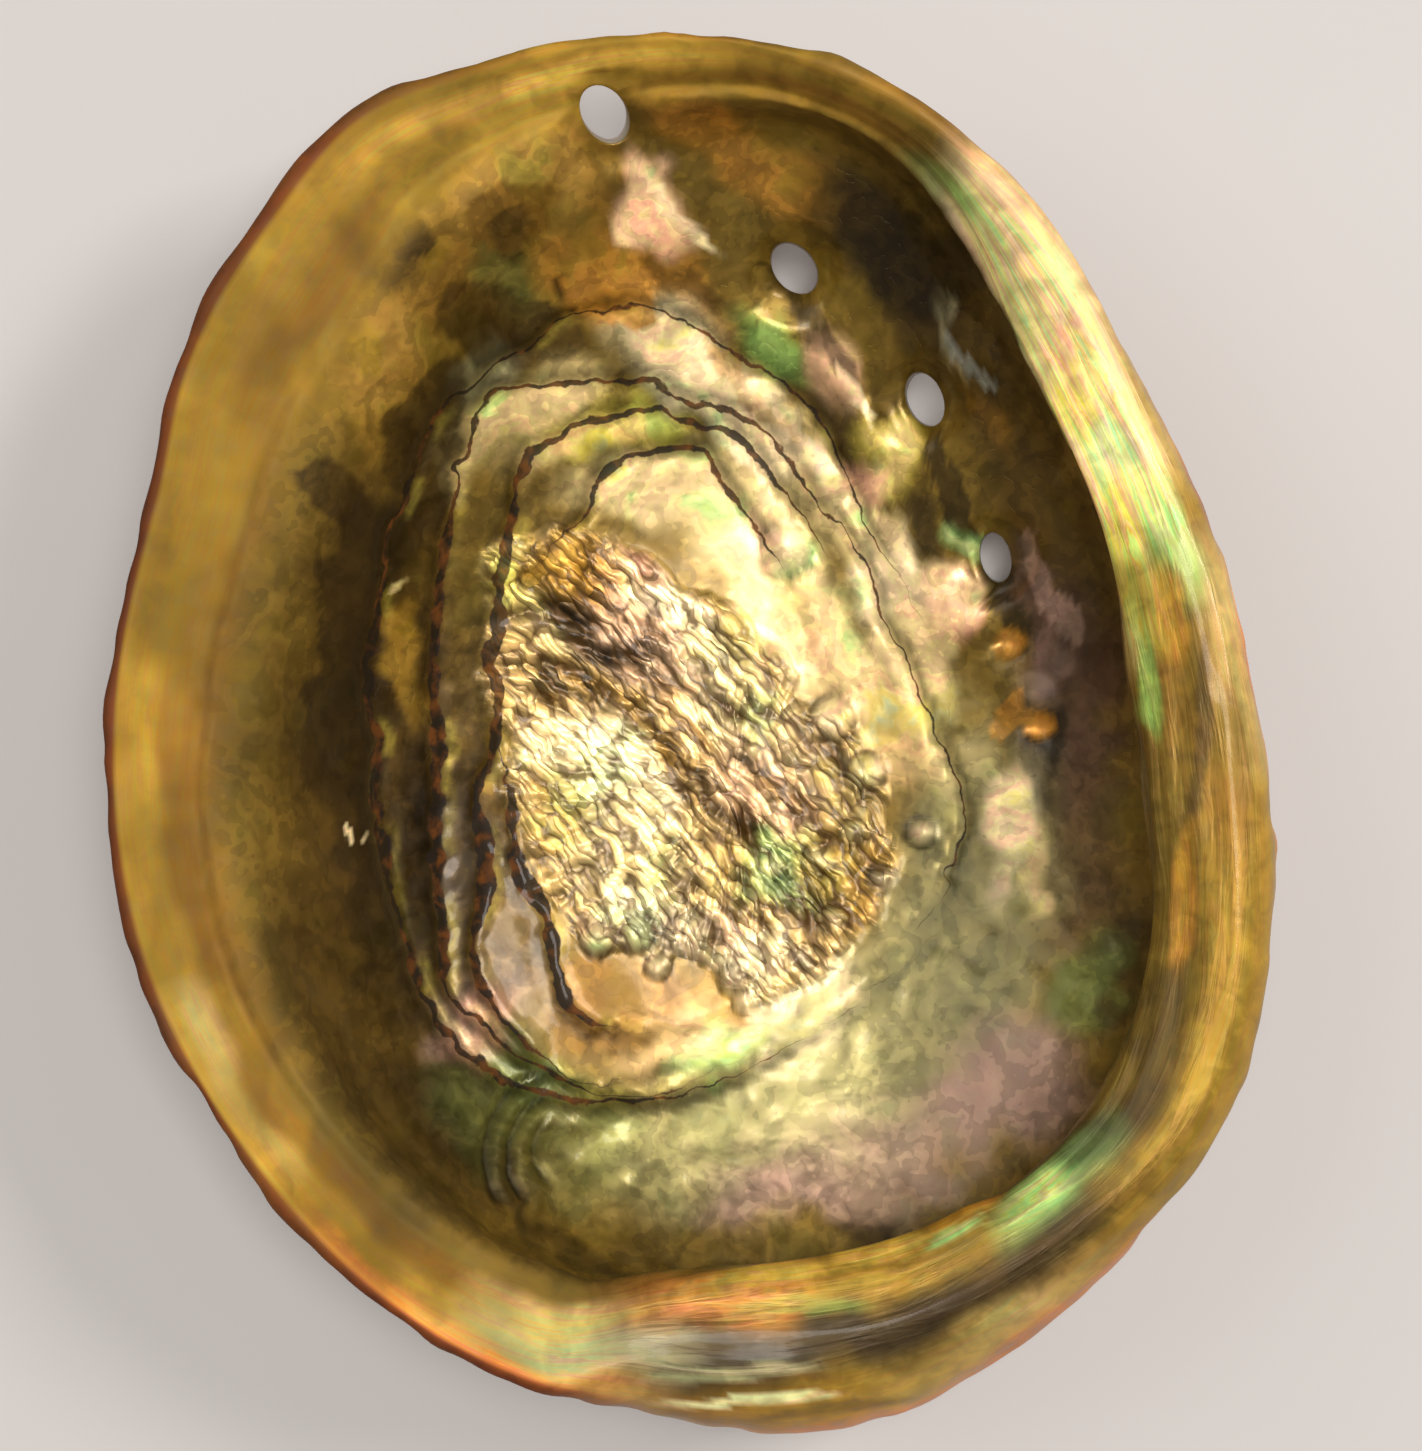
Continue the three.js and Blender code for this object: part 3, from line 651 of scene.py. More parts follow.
# Colour round the rim: degrees, then the paints from the bowl's brim out to the widest line.
SHELF_BANDS = [
    (75, "bronze", "bronze", "dark_olive", "bronze", "rust"),
    (68, "pearl", "mint", "pearl", "rose", "orange"),
    (58, "pearl", "pearl", "pearl", "rose", "orange"),
    (46, "pearl", "pearl", "rose", "sand", "orange"),
    (34, "cream", "lemon", "mint", "gold", "rust"),
    (18, "bronze", "bronze", "olive", "sand", "orange"),
    (0, "dark_olive", "olive", "bronze", "gold", "orange"),
    (-19, "olive", "olive", "gold", "gold", "rust"),
    (-36, "olive", "dark_olive", "gold", "gold", "orange"),
    (-48, "dark_olive", "mint", "dark_olive", "gold", "orange"),
    (-62, "dark_olive", "gold", "dark_olive", "sand", "orange"),
    (-79, "dark_olive", "gold", "umber", "gold", "orange"),
    (-96, "bronze", "orange", "umber", "bronze", "gold"),
    (-106, "bronze", "olive", "oyster", "sand", "rust"),
]
LIP_BANDS = [
    (75, "dark_olive", "dark_olive", "olive", "bronze", "rust"),
    (86, "gold", "bronze", "gold", "gold", "bronze"),
    (100, "gold", "gold", "bright_gold", "gold", "amber"),
    (115, "gold", "gold", "bright_gold", "gold", "gold"),
    (130, "gold", "bronze", "gold", "gold", "bright_gold"),
    (150, "bronze", "gold", "gold", "gold", "gold"),
    (175, "bronze", "bronze", "gold", "gold", "bronze"),
    (200, "bronze", "bronze", "gold", "gold", "gold"),
    (205, "bronze", "gold", "sand", "bright_gold", "sand"),
    (220, "olive", "bronze", "gold", "gold", "bright_gold"),
    (238, "olive", "bronze", "gold", "orange", "orange"),
    (254, "olive", "sand", "oyster", "orange", "orange"),
]


SOFT_EDGE = (0.5, 1.25)  # where a patch starts to fade and where it is gone, by its radius
STAIN_EDGE = (0.88, 1.0)
SHELF_PATCH_EDGE = (0.6, 1.1)


def laid_over(colour, share, top):
    """A colour with another laid over it, by a share for each place."""
    share = np.asarray(share)[..., None]
    return colour * (1 - share) + top * share


def patched(colour, x, y, patches, edge=SOFT_EDGE, sway=1.0, mask=1.0):
    """Each patch is an ellipse, drawn out of round by noise, and is laid over what is under it."""
    sway_x = sway * (3 * noise(x / 14, y / 14, 21.0) + 1.6 * noise(x / 3.5, y / 3.5, 23.0))
    sway_y = sway * (3 * noise(x / 14, y / 14, 27.0) + 1.6 * noise(x / 3.5, y / 3.5, 29.0))
    for paint, px, py, length, width, turn, strength in patches:
        a = math.radians(turn)
        dx, dy = x + sway_x - px, y + sway_y - py
        u = (dx * math.cos(a) + dy * math.sin(a)) / length
        w = (-dx * math.sin(a) + dy * math.cos(a)) / width
        weight = strength * mask * (1 - smooth(*edge, np.hypot(u, w)))
        colour = laid_over(colour, weight, PAINT[paint])
    return colour


def banded(degrees, across, bands):
    """Colour from bands round the rim, blended evenly from the brim out to the widest line,
    and from one band's angle to the next."""
    bands = sorted(bands, key=lambda band: band[0] % 360)
    angles = np.array([band[0] % 360 for band in bands], float)
    paints = np.array([[PAINT[name] for name in band[1:]] for band in bands])
    turned = np.mod(degrees, 360)
    place = np.clip(across, 0, 0.9999) * (paints.shape[1] - 1)
    step = np.floor(place).astype(int)
    share = smooth(0.15, 0.85, place - step)
    colour = []
    for channel in range(3):
        column = np.stack([
            np.interp(turned, angles, paints[:, k, channel], period=360)
            for k in range(paints.shape[1])
        ])
        at = np.arange(len(turned))
        colour.append(column[step, at] * (1 - share) + column[step + 1, at] * share)
    return np.stack(colour, -1)


def bowl_tints(x, y, f):
    """Olive nacre under soft and crisp patches, with the flaky scar and painted shade low between
    its flakes, a painted highlight on each growth line's upper edge and painted shade at its foot,
    pearly blisters with a ring of painted shade round each, painted shade in the spire's creases,
    and amber plugs in the filled holes."""
    plain = np.ones(x.shape + (3,))
    bowl = patched(plain * PAINT["olive"], x, y, BOWL_PATCHES)
    bowl = patched(bowl, x, y, CRISP_PATCHES, STAIN_EDGE)
    scar = patched(plain * PAINT["sand"], x, y, SCAR_PATCHES)
    # painted shade: the scar darkens and browns towards the low parts between its flakes
    depth = smooth(-0.45, 0.55, f["flake"])[..., None]
    scar = scar * (0.4 + 0.75 * depth) + PAINT["umber"] * 0.4 * (1 - depth)
    bowl = laid_over(bowl, f["scar"], scar)
    # painted highlight on each growth line's upper edge, then painted shade at its foot
    bowl = laid_over(bowl, 0.35 * f["lit"], 0.5 * bowl + 0.5 * PAINT["lemon"])
    bowl = laid_over(bowl, 0.5 * f["shaded"], 0)
    bowl = laid_over(bowl, 0.6 * f["blister"], PAINT["pearl"])
    # painted shade in a ring round each blister and in the spire's creases
    bowl = laid_over(bowl, 0.6 * f["moat"] + 0.8 * f["crease"], 0)
    return laid_over(bowl, f["plug"], PAINT["amber"])


def rim_tints(x, y, degrees, f):
    """Bands of colour round the rim, swayed by noise, with patches on the shelf and a cloudy
    film on the lip."""
    sway = degrees + 5 * noise(x / 12, y / 12, 13.0)
    shift = np.clip(f["across"] + 0.07 * cloud(x, y, 10, 3, 17.0), 0, 1)
    shelf = banded(sway, shift, SHELF_BANDS)
    shelf = patched(shelf, x, y, SHELF_PATCHES, SHELF_PATCH_EDGE, 0.3, f["folded"])
    film = noise(x / 9, y / 22, 51.0) + 0.5 * noise(x / 3, y / 6, 53.0)
    film = smooth(-0.3, 0.6, film)[..., None]
    lip = banded(sway, shift, LIP_BANDS) * (0.84 + 0.34 * film)
    return laid_over(shelf, 1 - f["folded"], lip)


def back_tints(x, y):
    """Rust and maroon streaks along the growth rings, worn through in patches to sand and
    orange."""
    age, bearing = growth(x, y)
    streak = 0.5 + 0.5 * np.sin(age * 34 + bearing * 3 + 3 * cloud(x, y, 22, 3, 15.0))
    skin = laid_over(PAINT["maroon"], streak, PAINT["rust"])
    worn = laid_over(PAINT["orange"], smooth(-0.25, 0.5, cloud(x, y, 13, 4, 18.0)), PAINT["sand"])
    return laid_over(skin, smooth(0.0, 0.55, cloud(x, y, 30, 3, 23.0) + 0.15), worn)


def tints(x, y, degrees, f):
    """The broad colour of every place on the shell, before fine streaks and films, and how
    pearly each place is, which rises with its brightness."""
    colour = bowl_tints(x, y, f) * f["inner"][..., None]
    colour = colour + rim_tints(x, y, degrees, f) * f["rim"][..., None]
    colour = colour + back_tints(x, y) * f["back"][..., None]
    red_edge = smooth(0.76, 0.84, f["across"]) * (1 - f["folded"]) * smooth(100, 125, degrees)
    colour = laid_over(colour, 0.9 * red_edge, PAINT["maroon"])
    bright = colour @ (0.3, 0.59, 0.11)
    f["pearl"] = smooth(0.1, 0.6, bright) * (1 - f["back"]) * (1 - 0.8 * f["worn"])
    return colour


# ---- the mesh -----------------------------------------------------------------------------

HOLE_COLUMNS = 5  # half the columns in the block of cells that a hole leaves out
HOLE_ROWS = 6  # half the fewest rows in that block
DRAWN_IN = 2  # the grid is drawn in towards a hole out to this many half blocks
ROOM_IN_BLOCK = 1.5  # an oval reaches out to no more than this many half blocks
INSIDE_SEARCH = np.linspace(0.05, 0.5, 300)  # places tried for where a hole opens inside
BACK_SEARCH = np.linspace(0.98, 0.62, 300)  # and for where it opens on the back
NEWTON_STEPS = 10
BORE_RINGS = (0.1, 0.3, 0.5, 0.7, 0.9)  # depths of the rings in a hole's wall
BORE_WAIST = 0.06  # how much narrower a hole is halfway down


def row_places():
    """How far along the section each row lies, closest together inside the bowl."""
    inside = np.linspace(0, BRIM_AT, ROWS_IN, endpoint=False)
    over = np.linspace(BRIM_AT, EDGE_AT, ROWS_RIM, endpoint=False)
    down = np.linspace(EDGE_AT, 1, ROWS_BACK)
    return np.concatenate([inside, over, down])


def first_crossing(degrees, reach, places):
    """The first of some places along the section that lies further out than a radius."""
    points = wall(np.full(places.shape, degrees), places)
    return places[np.argmax(np.hypot(*(points[:, :2] - POLE).T) > reach)]


def along_line(points, axis, degrees, v):
    """Where lines through some points, all along one axis, meet the base surface: Newton's
    steps from the given places, each kept short."""
    for _ in range(NEWTON_STEPS):
        here = wall(degrees, v)
        by_degree = wall(degrees + DEGREE_STEP, v) - wall(degrees - DEGREE_STEP, v)
        by_degree /= 2 * DEGREE_STEP
        by_v = (wall(degrees, v + 1e-3) - wall(degrees, v - 1e-3)) / 2e-3
        slopes = np.stack([by_degree, by_v, np.broadcast_to(-axis, here.shape)], -1)
        step = np.linalg.solve(slopes, (points - here)[..., None])[..., 0]
        degrees = degrees + np.clip(step[..., 0], -3, 3)
        v = v + np.clip(step[..., 1], -0.02, 0.02)
    return degrees, v


def bore(plan):
    """The line that a hole is bored along: a point of it on the inside, its axis, and the
    places where it meets the inside and the back. The axis lies between straight up and
    square to the wall."""
    plan = np.array(plan, float)
    arm = plan - POLE
    degrees, reach = np.degrees(np.arctan2(arm[1], arm[0])), np.hypot(*arm)
    upright = np.array([0.0, 0.0, 1.0])
    start = first_crossing(degrees, reach, INSIDE_SEARCH)
    inside = along_line(np.append(plan, 0)[None], upright, np.array([degrees]), np.array([start]))
    axis = upright * (1 - HOLE_LEAN) + wall_normal(*inside)[0] * HOLE_LEAN
    axis /= np.linalg.norm(axis)
    middle = wall(*inside)[0]
    start = first_crossing(degrees, reach, BACK_SEARCH)
    back = along_line(middle[None], axis, np.array([degrees]), np.array([start]))
    return middle, axis, (inside, back)


def oval(middle, axis, hole, tangential, outward):
    """Points of a hole's oval in the direction of each (tangential, outward) pair."""
    turn, half_length, half_width = math.radians(hole[1]), hole[2], hole[3]
    across = np.cross([math.cos(turn), math.sin(turn), 0], axis)
    across /= np.linalg.norm(across)
    along = np.cross(axis, across)
    arm = np.append(middle[:2] - POLE, 0)
    arm /= np.linalg.norm(arm)
    turned = np.array([-arm[1], arm[0], 0])
    way = tangential[..., None] * turned + outward[..., None] * arm
    way_along, way_across = way @ along, way @ across
    size = np.hypot(way_along, way_across)[..., None]
    offset = half_length * along * way_along[..., None]
    offset = offset + half_width * across * way_across[..., None]
    return middle + offset / size


def open_hole(hole, degrees, v, gone):
    """Draws the grid in round a hole on the inside and on the back. The border of a block of
    cells takes the hole's oval, places further out move in less and less, and the block's
    cells are marked as gone. Gives the two borders' indices, place for place."""
    rows = row_places()[1:-1]
    middle, axis, meets = bore(hole[0])
    half_rows = rows_for(hole, middle, axis, meets[0], rows)
    borders = []
    for (meet_degrees, meet_v), side in zip(meets, (1, -1)):
        column = int(round(meet_degrees[0] / 360 * ANGLES))
        row = int(np.argmin(np.abs(rows - meet_v[0])))
        reach_a, reach_b = DRAWN_IN * HOLE_COLUMNS, DRAWN_IN * half_rows
        a, b = np.mgrid[-reach_a : reach_a + 1, -reach_b : reach_b + 1]
        out = np.maximum(np.abs(a / HOLE_COLUMNS), np.abs(b / half_rows))
        a, b, out = a[out >= 1], b[out >= 1], out[out >= 1]
        unit_a, unit_b = a / HOLE_COLUMNS / out, b / half_rows / out
        edge = oval(middle, axis, hole, unit_a, unit_b * side)
        near_degrees, near_v = along_line(
            edge, axis, np.full(len(a), meet_degrees[0]), np.full(len(a), meet_v[0])
        )
        far_degrees = (column + unit_a * reach_a) * 360 / ANGLES
        far_v = np.interp(row + unit_b * reach_b, np.arange(len(rows)), rows)
        share = (out - 1) / (DRAWN_IN - 1)
        moved = (column + a) % ANGLES, row + b
        degrees[moved] = near_degrees + (far_degrees - near_degrees) * share
        v[moved] = near_v + (far_v - near_v) * share
        block = np.arange(column - HOLE_COLUMNS, column + HOLE_COLUMNS) % ANGLES
        gone[block[:, None], np.arange(row - half_rows, row + half_rows)] = True
        a, b = block_border(HOLE_COLUMNS, half_rows)
        borders.append((column + a) % ANGLES * len(rows) + row + b * side)
    return borders


def rows_for(hole, middle, axis, inside, rows):
    """Half the rows in a hole's block: enough that the oval stays well inside the part of the
    grid that is drawn in."""
    turn = np.linspace(0, 2 * math.pi, 48, endpoint=False)
    edge = oval(middle, axis, hole, np.cos(turn), np.sin(turn))
    start = [np.full(48, value[0]) for value in inside]
    edge_v = along_line(edge, axis, *start)[1]
    number = np.interp(edge_v, rows, np.arange(len(rows)))
    reach = np.abs(number - np.interp(inside[1], rows, np.arange(len(rows)))).max()
    return max(HOLE_ROWS, int(math.ceil(reach / ROOM_IN_BLOCK)))


def block_border(c, r):
    """Column and row offsets round a block's border, starting along its first row."""
    ends = [(-c, -r), (c, -r), (c, r), (-c, r), (-c, -r)]
    sides = [
        np.linspace(start, end, int(abs(np.subtract(end, start)).sum()), endpoint=False)
        for start, end in zip(ends, ends[1:])
    ]
    return np.rint(np.concatenate(sides)).astype(int).T


def shell_faces(rows, gone, borders, first_bore):
    """Quads of the grid that aren't gone, fans at the two poles, and rings of quads down the
    wall of each hole."""
    i, j = np.nonzero(~gone)
    i_next = (i + 1) % ANGLES
    here, across = i * rows + j, i_next * rows + j
    quads = [np.stack([here, here + 1, across + 1, across], -1)]
    first = first_bore
    for inside, back in borders:
        chain = [inside]
        for _ in BORE_RINGS:
            chain.append(first + np.arange(len(inside)))
            first += len(inside)
        chain.append(back)
        for near, far in zip(chain, chain[1:]):
            quads.append(np.stack([np.roll(near, -1), near, far, np.roll(far, -1)], -1))
    column = np.arange(ANGLES)
    column_next = (column + 1) % ANGLES
    deep, crown = np.full(ANGLES, ANGLES * rows), np.full(ANGLES, ANGLES * rows + 1)
    last = rows - 1
    fans = [
        np.stack([deep, column * rows, column_next * rows], -1),
        np.stack([crown, column_next * rows + last, column * rows + last], -1),
    ]
    return np.concatenate(quads), np.concatenate(fans)


def shell_shape():
    """The shell's points in millimetres, its quads and triangles, and its fields and tints at
    every point. The base surface is fitted to the frame's box and then moved out along its
    normals by the relief, except on the flat that it lies on."""
    rows = row_places()[1:-1]
    degrees, v = np.meshgrid(np.arange(ANGLES) * 360 / ANGLES, rows, indexing="ij")
    gone = np.zeros((ANGLES, len(rows) - 1), bool)
    borders = [open_hole(hole, degrees, v, gone) for hole in HOLES]
    degrees = np.append(degrees.ravel(), [0, 0])
    v = np.append(v.ravel(), [0, 1])
    base = wall(degrees, v)
    f = fields(*base.T, degrees, v)
    colour = tints(*base.T[:2], degrees, f)
    normal = wall_normal(degrees, v)
    keep_flat = np.where(v > 0.5, smooth(0, 0.35, base[:, 2]), 1)
    points = base + normal * (f["relief"] * keep_flat)[:, None]
    f["pore"] = np.zeros(len(v))

    low, high = (np.array(corner) * 1000 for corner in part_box("shell"))
    scale = (high - low) / (base.max(0) - base.min(0))
    points = low + (points - base.min(0)) * scale
    points[:, 2] = np.maximum(points[:, 2], 0)

    first_bore = len(points)
    extra, source = [], []
    for inside, back in borders:
        near, far = points[inside], points[back]
        for depth in BORE_RINGS:
            ring = near + (far - near) * depth
            middle = ring.mean(0)
            waist = BORE_WAIST * math.sin(math.pi * depth) ** 0.5
            extra.append(middle + (ring - middle) * (1 - waist))
            source.append(inside if depth < 0.5 else back)
    source = np.concatenate([np.arange(first_bore), *source])
    points = np.concatenate([points, *extra])
    for name in f:
        f[name] = f[name][..., source]
    f["pore"][first_bore:] = 1
    quads, fans = shell_faces(len(rows), gone, borders, first_bore)

    used = np.unique(np.concatenate([quads.ravel(), fans.ravel()]))
    renumber = np.zeros(len(points), int)
    renumber[used] = np.arange(len(used))
    source = source[used]
    for name in f:
        f[name] = f[name][..., used]
    return points[used], renumber[quads], renumber[fans], f, colour[source]


def put_attribute(mesh, name, values):
    """Stores a number or three numbers for each of the mesh's points."""
    kind, key = ("FLOAT", "value") if values.ndim == 1 else ("FLOAT_VECTOR", "vector")
    attribute = mesh.attributes.new(name, kind, "POINT")
    attribute.data.foreach_set(key, np.ascontiguousarray(values, np.float32).ravel())


def build_shell():
    """The shell as one mesh, with what its finish needs to know at each point."""
    points, quads, fans, f, colour = shell_shape()
    mesh = bpy.data.meshes.new("abalone_shell")
    mesh.from_pydata(points / 1000, [], quads.tolist() + fans.tolist())
    mesh.shade_smooth()
    put_attribute(mesh, "tint", colour)
    for number, (gap, width) in enumerate(zip(f["gaps"], f["widths"])):
        put_attribute(mesh, f"growth_line_{number}", np.stack([gap, width, 0 * gap], -1))
    put_attribute(mesh, "regions", np.stack([f["pearl"], f["scar"], f["back"]], -1))
    put_attribute(mesh, "more_regions", np.stack([f["rim"], f["pore"], f["shelf"]], -1))
    for name in ("satin", "worn", "cloudy"):
        put_attribute(mesh, name, f[name])
    for name in ("rim_grain", "growth_grain"):
        put_attribute(mesh, name, np.moveaxis(f[name], 0, -1))
    shell = bpy.data.objects.new("abalone_shell", mesh)
    bpy.context.scene.collection.objects.link(shell)
    return shell


# ---- the finish ---------------------------------------------------------------------------


class Finish:
    """A material's node tree, with short ways to add nodes. A value may be another node's
    socket, which is linked, or a plain number or colour, which is set."""

    def __init__(self, name):
        self.material = bpy.data.materials.new(name)
        self.material.use_nodes = True
        self.nodes = self.material.node_tree.nodes
        self.links = self.material.node_tree.links
        self.nodes.clear()

    def add(self, kind, sockets=(), **settings):
        node = self.nodes.new(kind)
        for name, value in settings.items():
            setattr(node, name, value)
        for name, value in dict(sockets).items():
            self.put(node.inputs[name], value)
        return node

    def put(self, socket, value):
        if isinstance(value, bpy.types.NodeSocket):
            self.links.new(value, socket)
        elif hasattr(socket.default_value, "__len__") and len(socket.default_value) == 4:
            socket.default_value = (*value, 1)
        else:
            socket.default_value = value

    def maths(self, operation, a, b=0.0, c=0.0):
        node = self.add("ShaderNodeMath", {0: a, 1: b, 2: c}, operation=operation)
        return node.outputs[0]

    def times(self, a, b):
        return self.maths("MULTIPLY", a, b)

    def times_plus(self, a, b, c):
        """a times b, plus c."""
        return self.maths("MULTIPLY_ADD", a, b, c)

    def partly(self, factor, share):
        """The factor in full where the share is 1, fading to 1 where the share is 0."""
        return self.times_plus(self.maths("SUBTRACT", factor, 1), share, 1)

    def ramp(self, value, low, high, to_low=0.0, to_high=1.0):
        """Goes smoothly from to_low to to_high as the value goes from low to high."""
        sockets = {"Value": value, "From Min": low, "From Max": high}
        sockets |= {"To Min": to_low, "To Max": to_high}
        return self.add("ShaderNodeMapRange", sockets, interpolation_type="SMOOTHSTEP").outputs[0]

    def mix(self, factor, a, b, blend="MIX"):
        node = self.add("ShaderNodeMix", data_type="RGBA", blend_type=blend)
        for index, value in ((0, factor), (6, a), (7, b)):
            self.put(node.inputs[index], value)
        return node.outputs[2]

    def shaded(self, colour, red, green, blue):
        """A colour times a factor for each of its channels."""
        factors = self.add("ShaderNodeCombineXYZ", {0: red, 1: green, 2: blue}).outputs[0]
        return self.mix(1.0, colour, factors, "MULTIPLY")

    def paint_ramp(self, value, stops):
        """Colours from a list of (position, paint name)."""
        node = self.add("ShaderNodeValToRGB", {"Fac": value})
        elements = node.color_ramp.elements
        while len(elements) < len(stops):
            elements.new(0.5)
        for element, (position, paint) in zip(elements, stops):
            element.position = position
            element.color = (*PAINT[paint], 1)
        return node.outputs[0]

    def noise(self, coordinates, scale, detail=2.0, distortion=0.0, roughness=0.5, out="Fac"):
        sockets = {"Vector": coordinates, "Scale": scale, "Detail": detail}
        sockets |= {"Distortion": distortion, "Roughness": roughness}
        return self.add("ShaderNodeTexNoise", sockets).outputs[out]

    def mapped(self, coordinates, turn=0.0, scale=(1, 1, 1)):
        sockets = {"Vector": coordinates, "Rotation": (0, 0, math.radians(turn)), "Scale": scale}
        return self.add("ShaderNodeMapping", sockets).outputs[0]

    def attribute(self, name, output="Vector"):
        return self.add("ShaderNodeAttribute", attribute_name=name).outputs[output]

    def split(self, vector):
        return self.add("ShaderNodeSeparateXYZ", {"Vector": vector}).outputs


def growth_line_mask(finish, place):
    """1 on the dark growth lines. Each lies where the distance to its middle, made ragged by
    fine noise, is less than its half width."""
    ragged = finish.noise(place, 480, 2.0)
    ragged = finish.ramp(ragged, 0.3, 0.7, -0.22, 0.22)
    mask = 0.0
    for number in range(len(GROWTH_LINES)):
        distance, half_width, _ = finish.split(finish.attribute(f"growth_line_{number}"))
        gap = finish.maths("ABSOLUTE", finish.maths("ADD", distance, ragged))
        over = finish.maths("SUBTRACT", half_width, gap)
        mask = finish.maths("MAXIMUM", mask, finish.ramp(over, -0.14, 0.1))
    return mask


def play_of_colour(finish, place, streaks, rim):
    """Green, rose, cream and gold, in clouds in the bowl and in streaks along the rim."""
    clouds = finish.paint_ramp(finish.noise(place, 62, 5.0, 0.25, 0.62), [
        (0.32, "leaf"), (0.38, "mint"), (0.43, "cream"), (0.48, "rose"), (0.52, "cream"),
        (0.56, "pink"), (0.6, "cream"), (0.65, "lemon"), (0.72, "aqua"),
    ])
    ribbons = finish.paint_ramp(streaks, [
        (0.34, "olive"), (0.42, "mint"), (0.47, "lemon"), (0.52, "cream"), (0.57, "pink"),
        (0.62, "bright_gold"), (0.68, "mint"),
    ])
    return finish.mix(rim, clouds, ribbons)


def nacre_plates(finish, place):
    """Thin plates of nacre, as flat steps of grey with clear edges cut from soft noise."""
    plates = finish.add("ShaderNodeValToRGB", {"Fac": finish.noise(place, 62, 4.0, 0.1, 0.6)})
    plates.color_ramp.interpolation = "CONSTANT"
    for position, grey in ((0.36, 0.8), (0.42, 1.0), (0.47, 0.72), (0.53, 1.05), (0.6, 0.85)):
        plates.color_ramp.elements.new(position).color = (grey, grey, grey, 1)
    return plates.outputs[0]


def flake_cells(finish, place):
    """The scar's flakes, as cells bent by noise and about 1.3 mm wide and 4.5 mm long: each
    one's own tone, its rise from the edge to the middle, and the distance to its middle."""
    flaky = finish.mapped(finish.mapped(place, 50), 0, (220, 760, 1))
    bend = {0: finish.noise(place, 240, 1.0, out="Color"), 1: (1.6, 2.2, 0), 2: flaky}
    bent = finish.add("ShaderNodeVectorMath", bend, operation="MULTIPLY_ADD").outputs[0]
    sockets = {"Vector": bent, "Scale": 1.0}
    cells = finish.add("ShaderNodeTexVoronoi", sockets, voronoi_dimensions="2D").outputs
    rise = finish.ramp(cells["Distance"], 0.05, 0.75, 1.0, 0.0)
    return finish.split(cells["Color"])[0], rise, cells["Distance"]


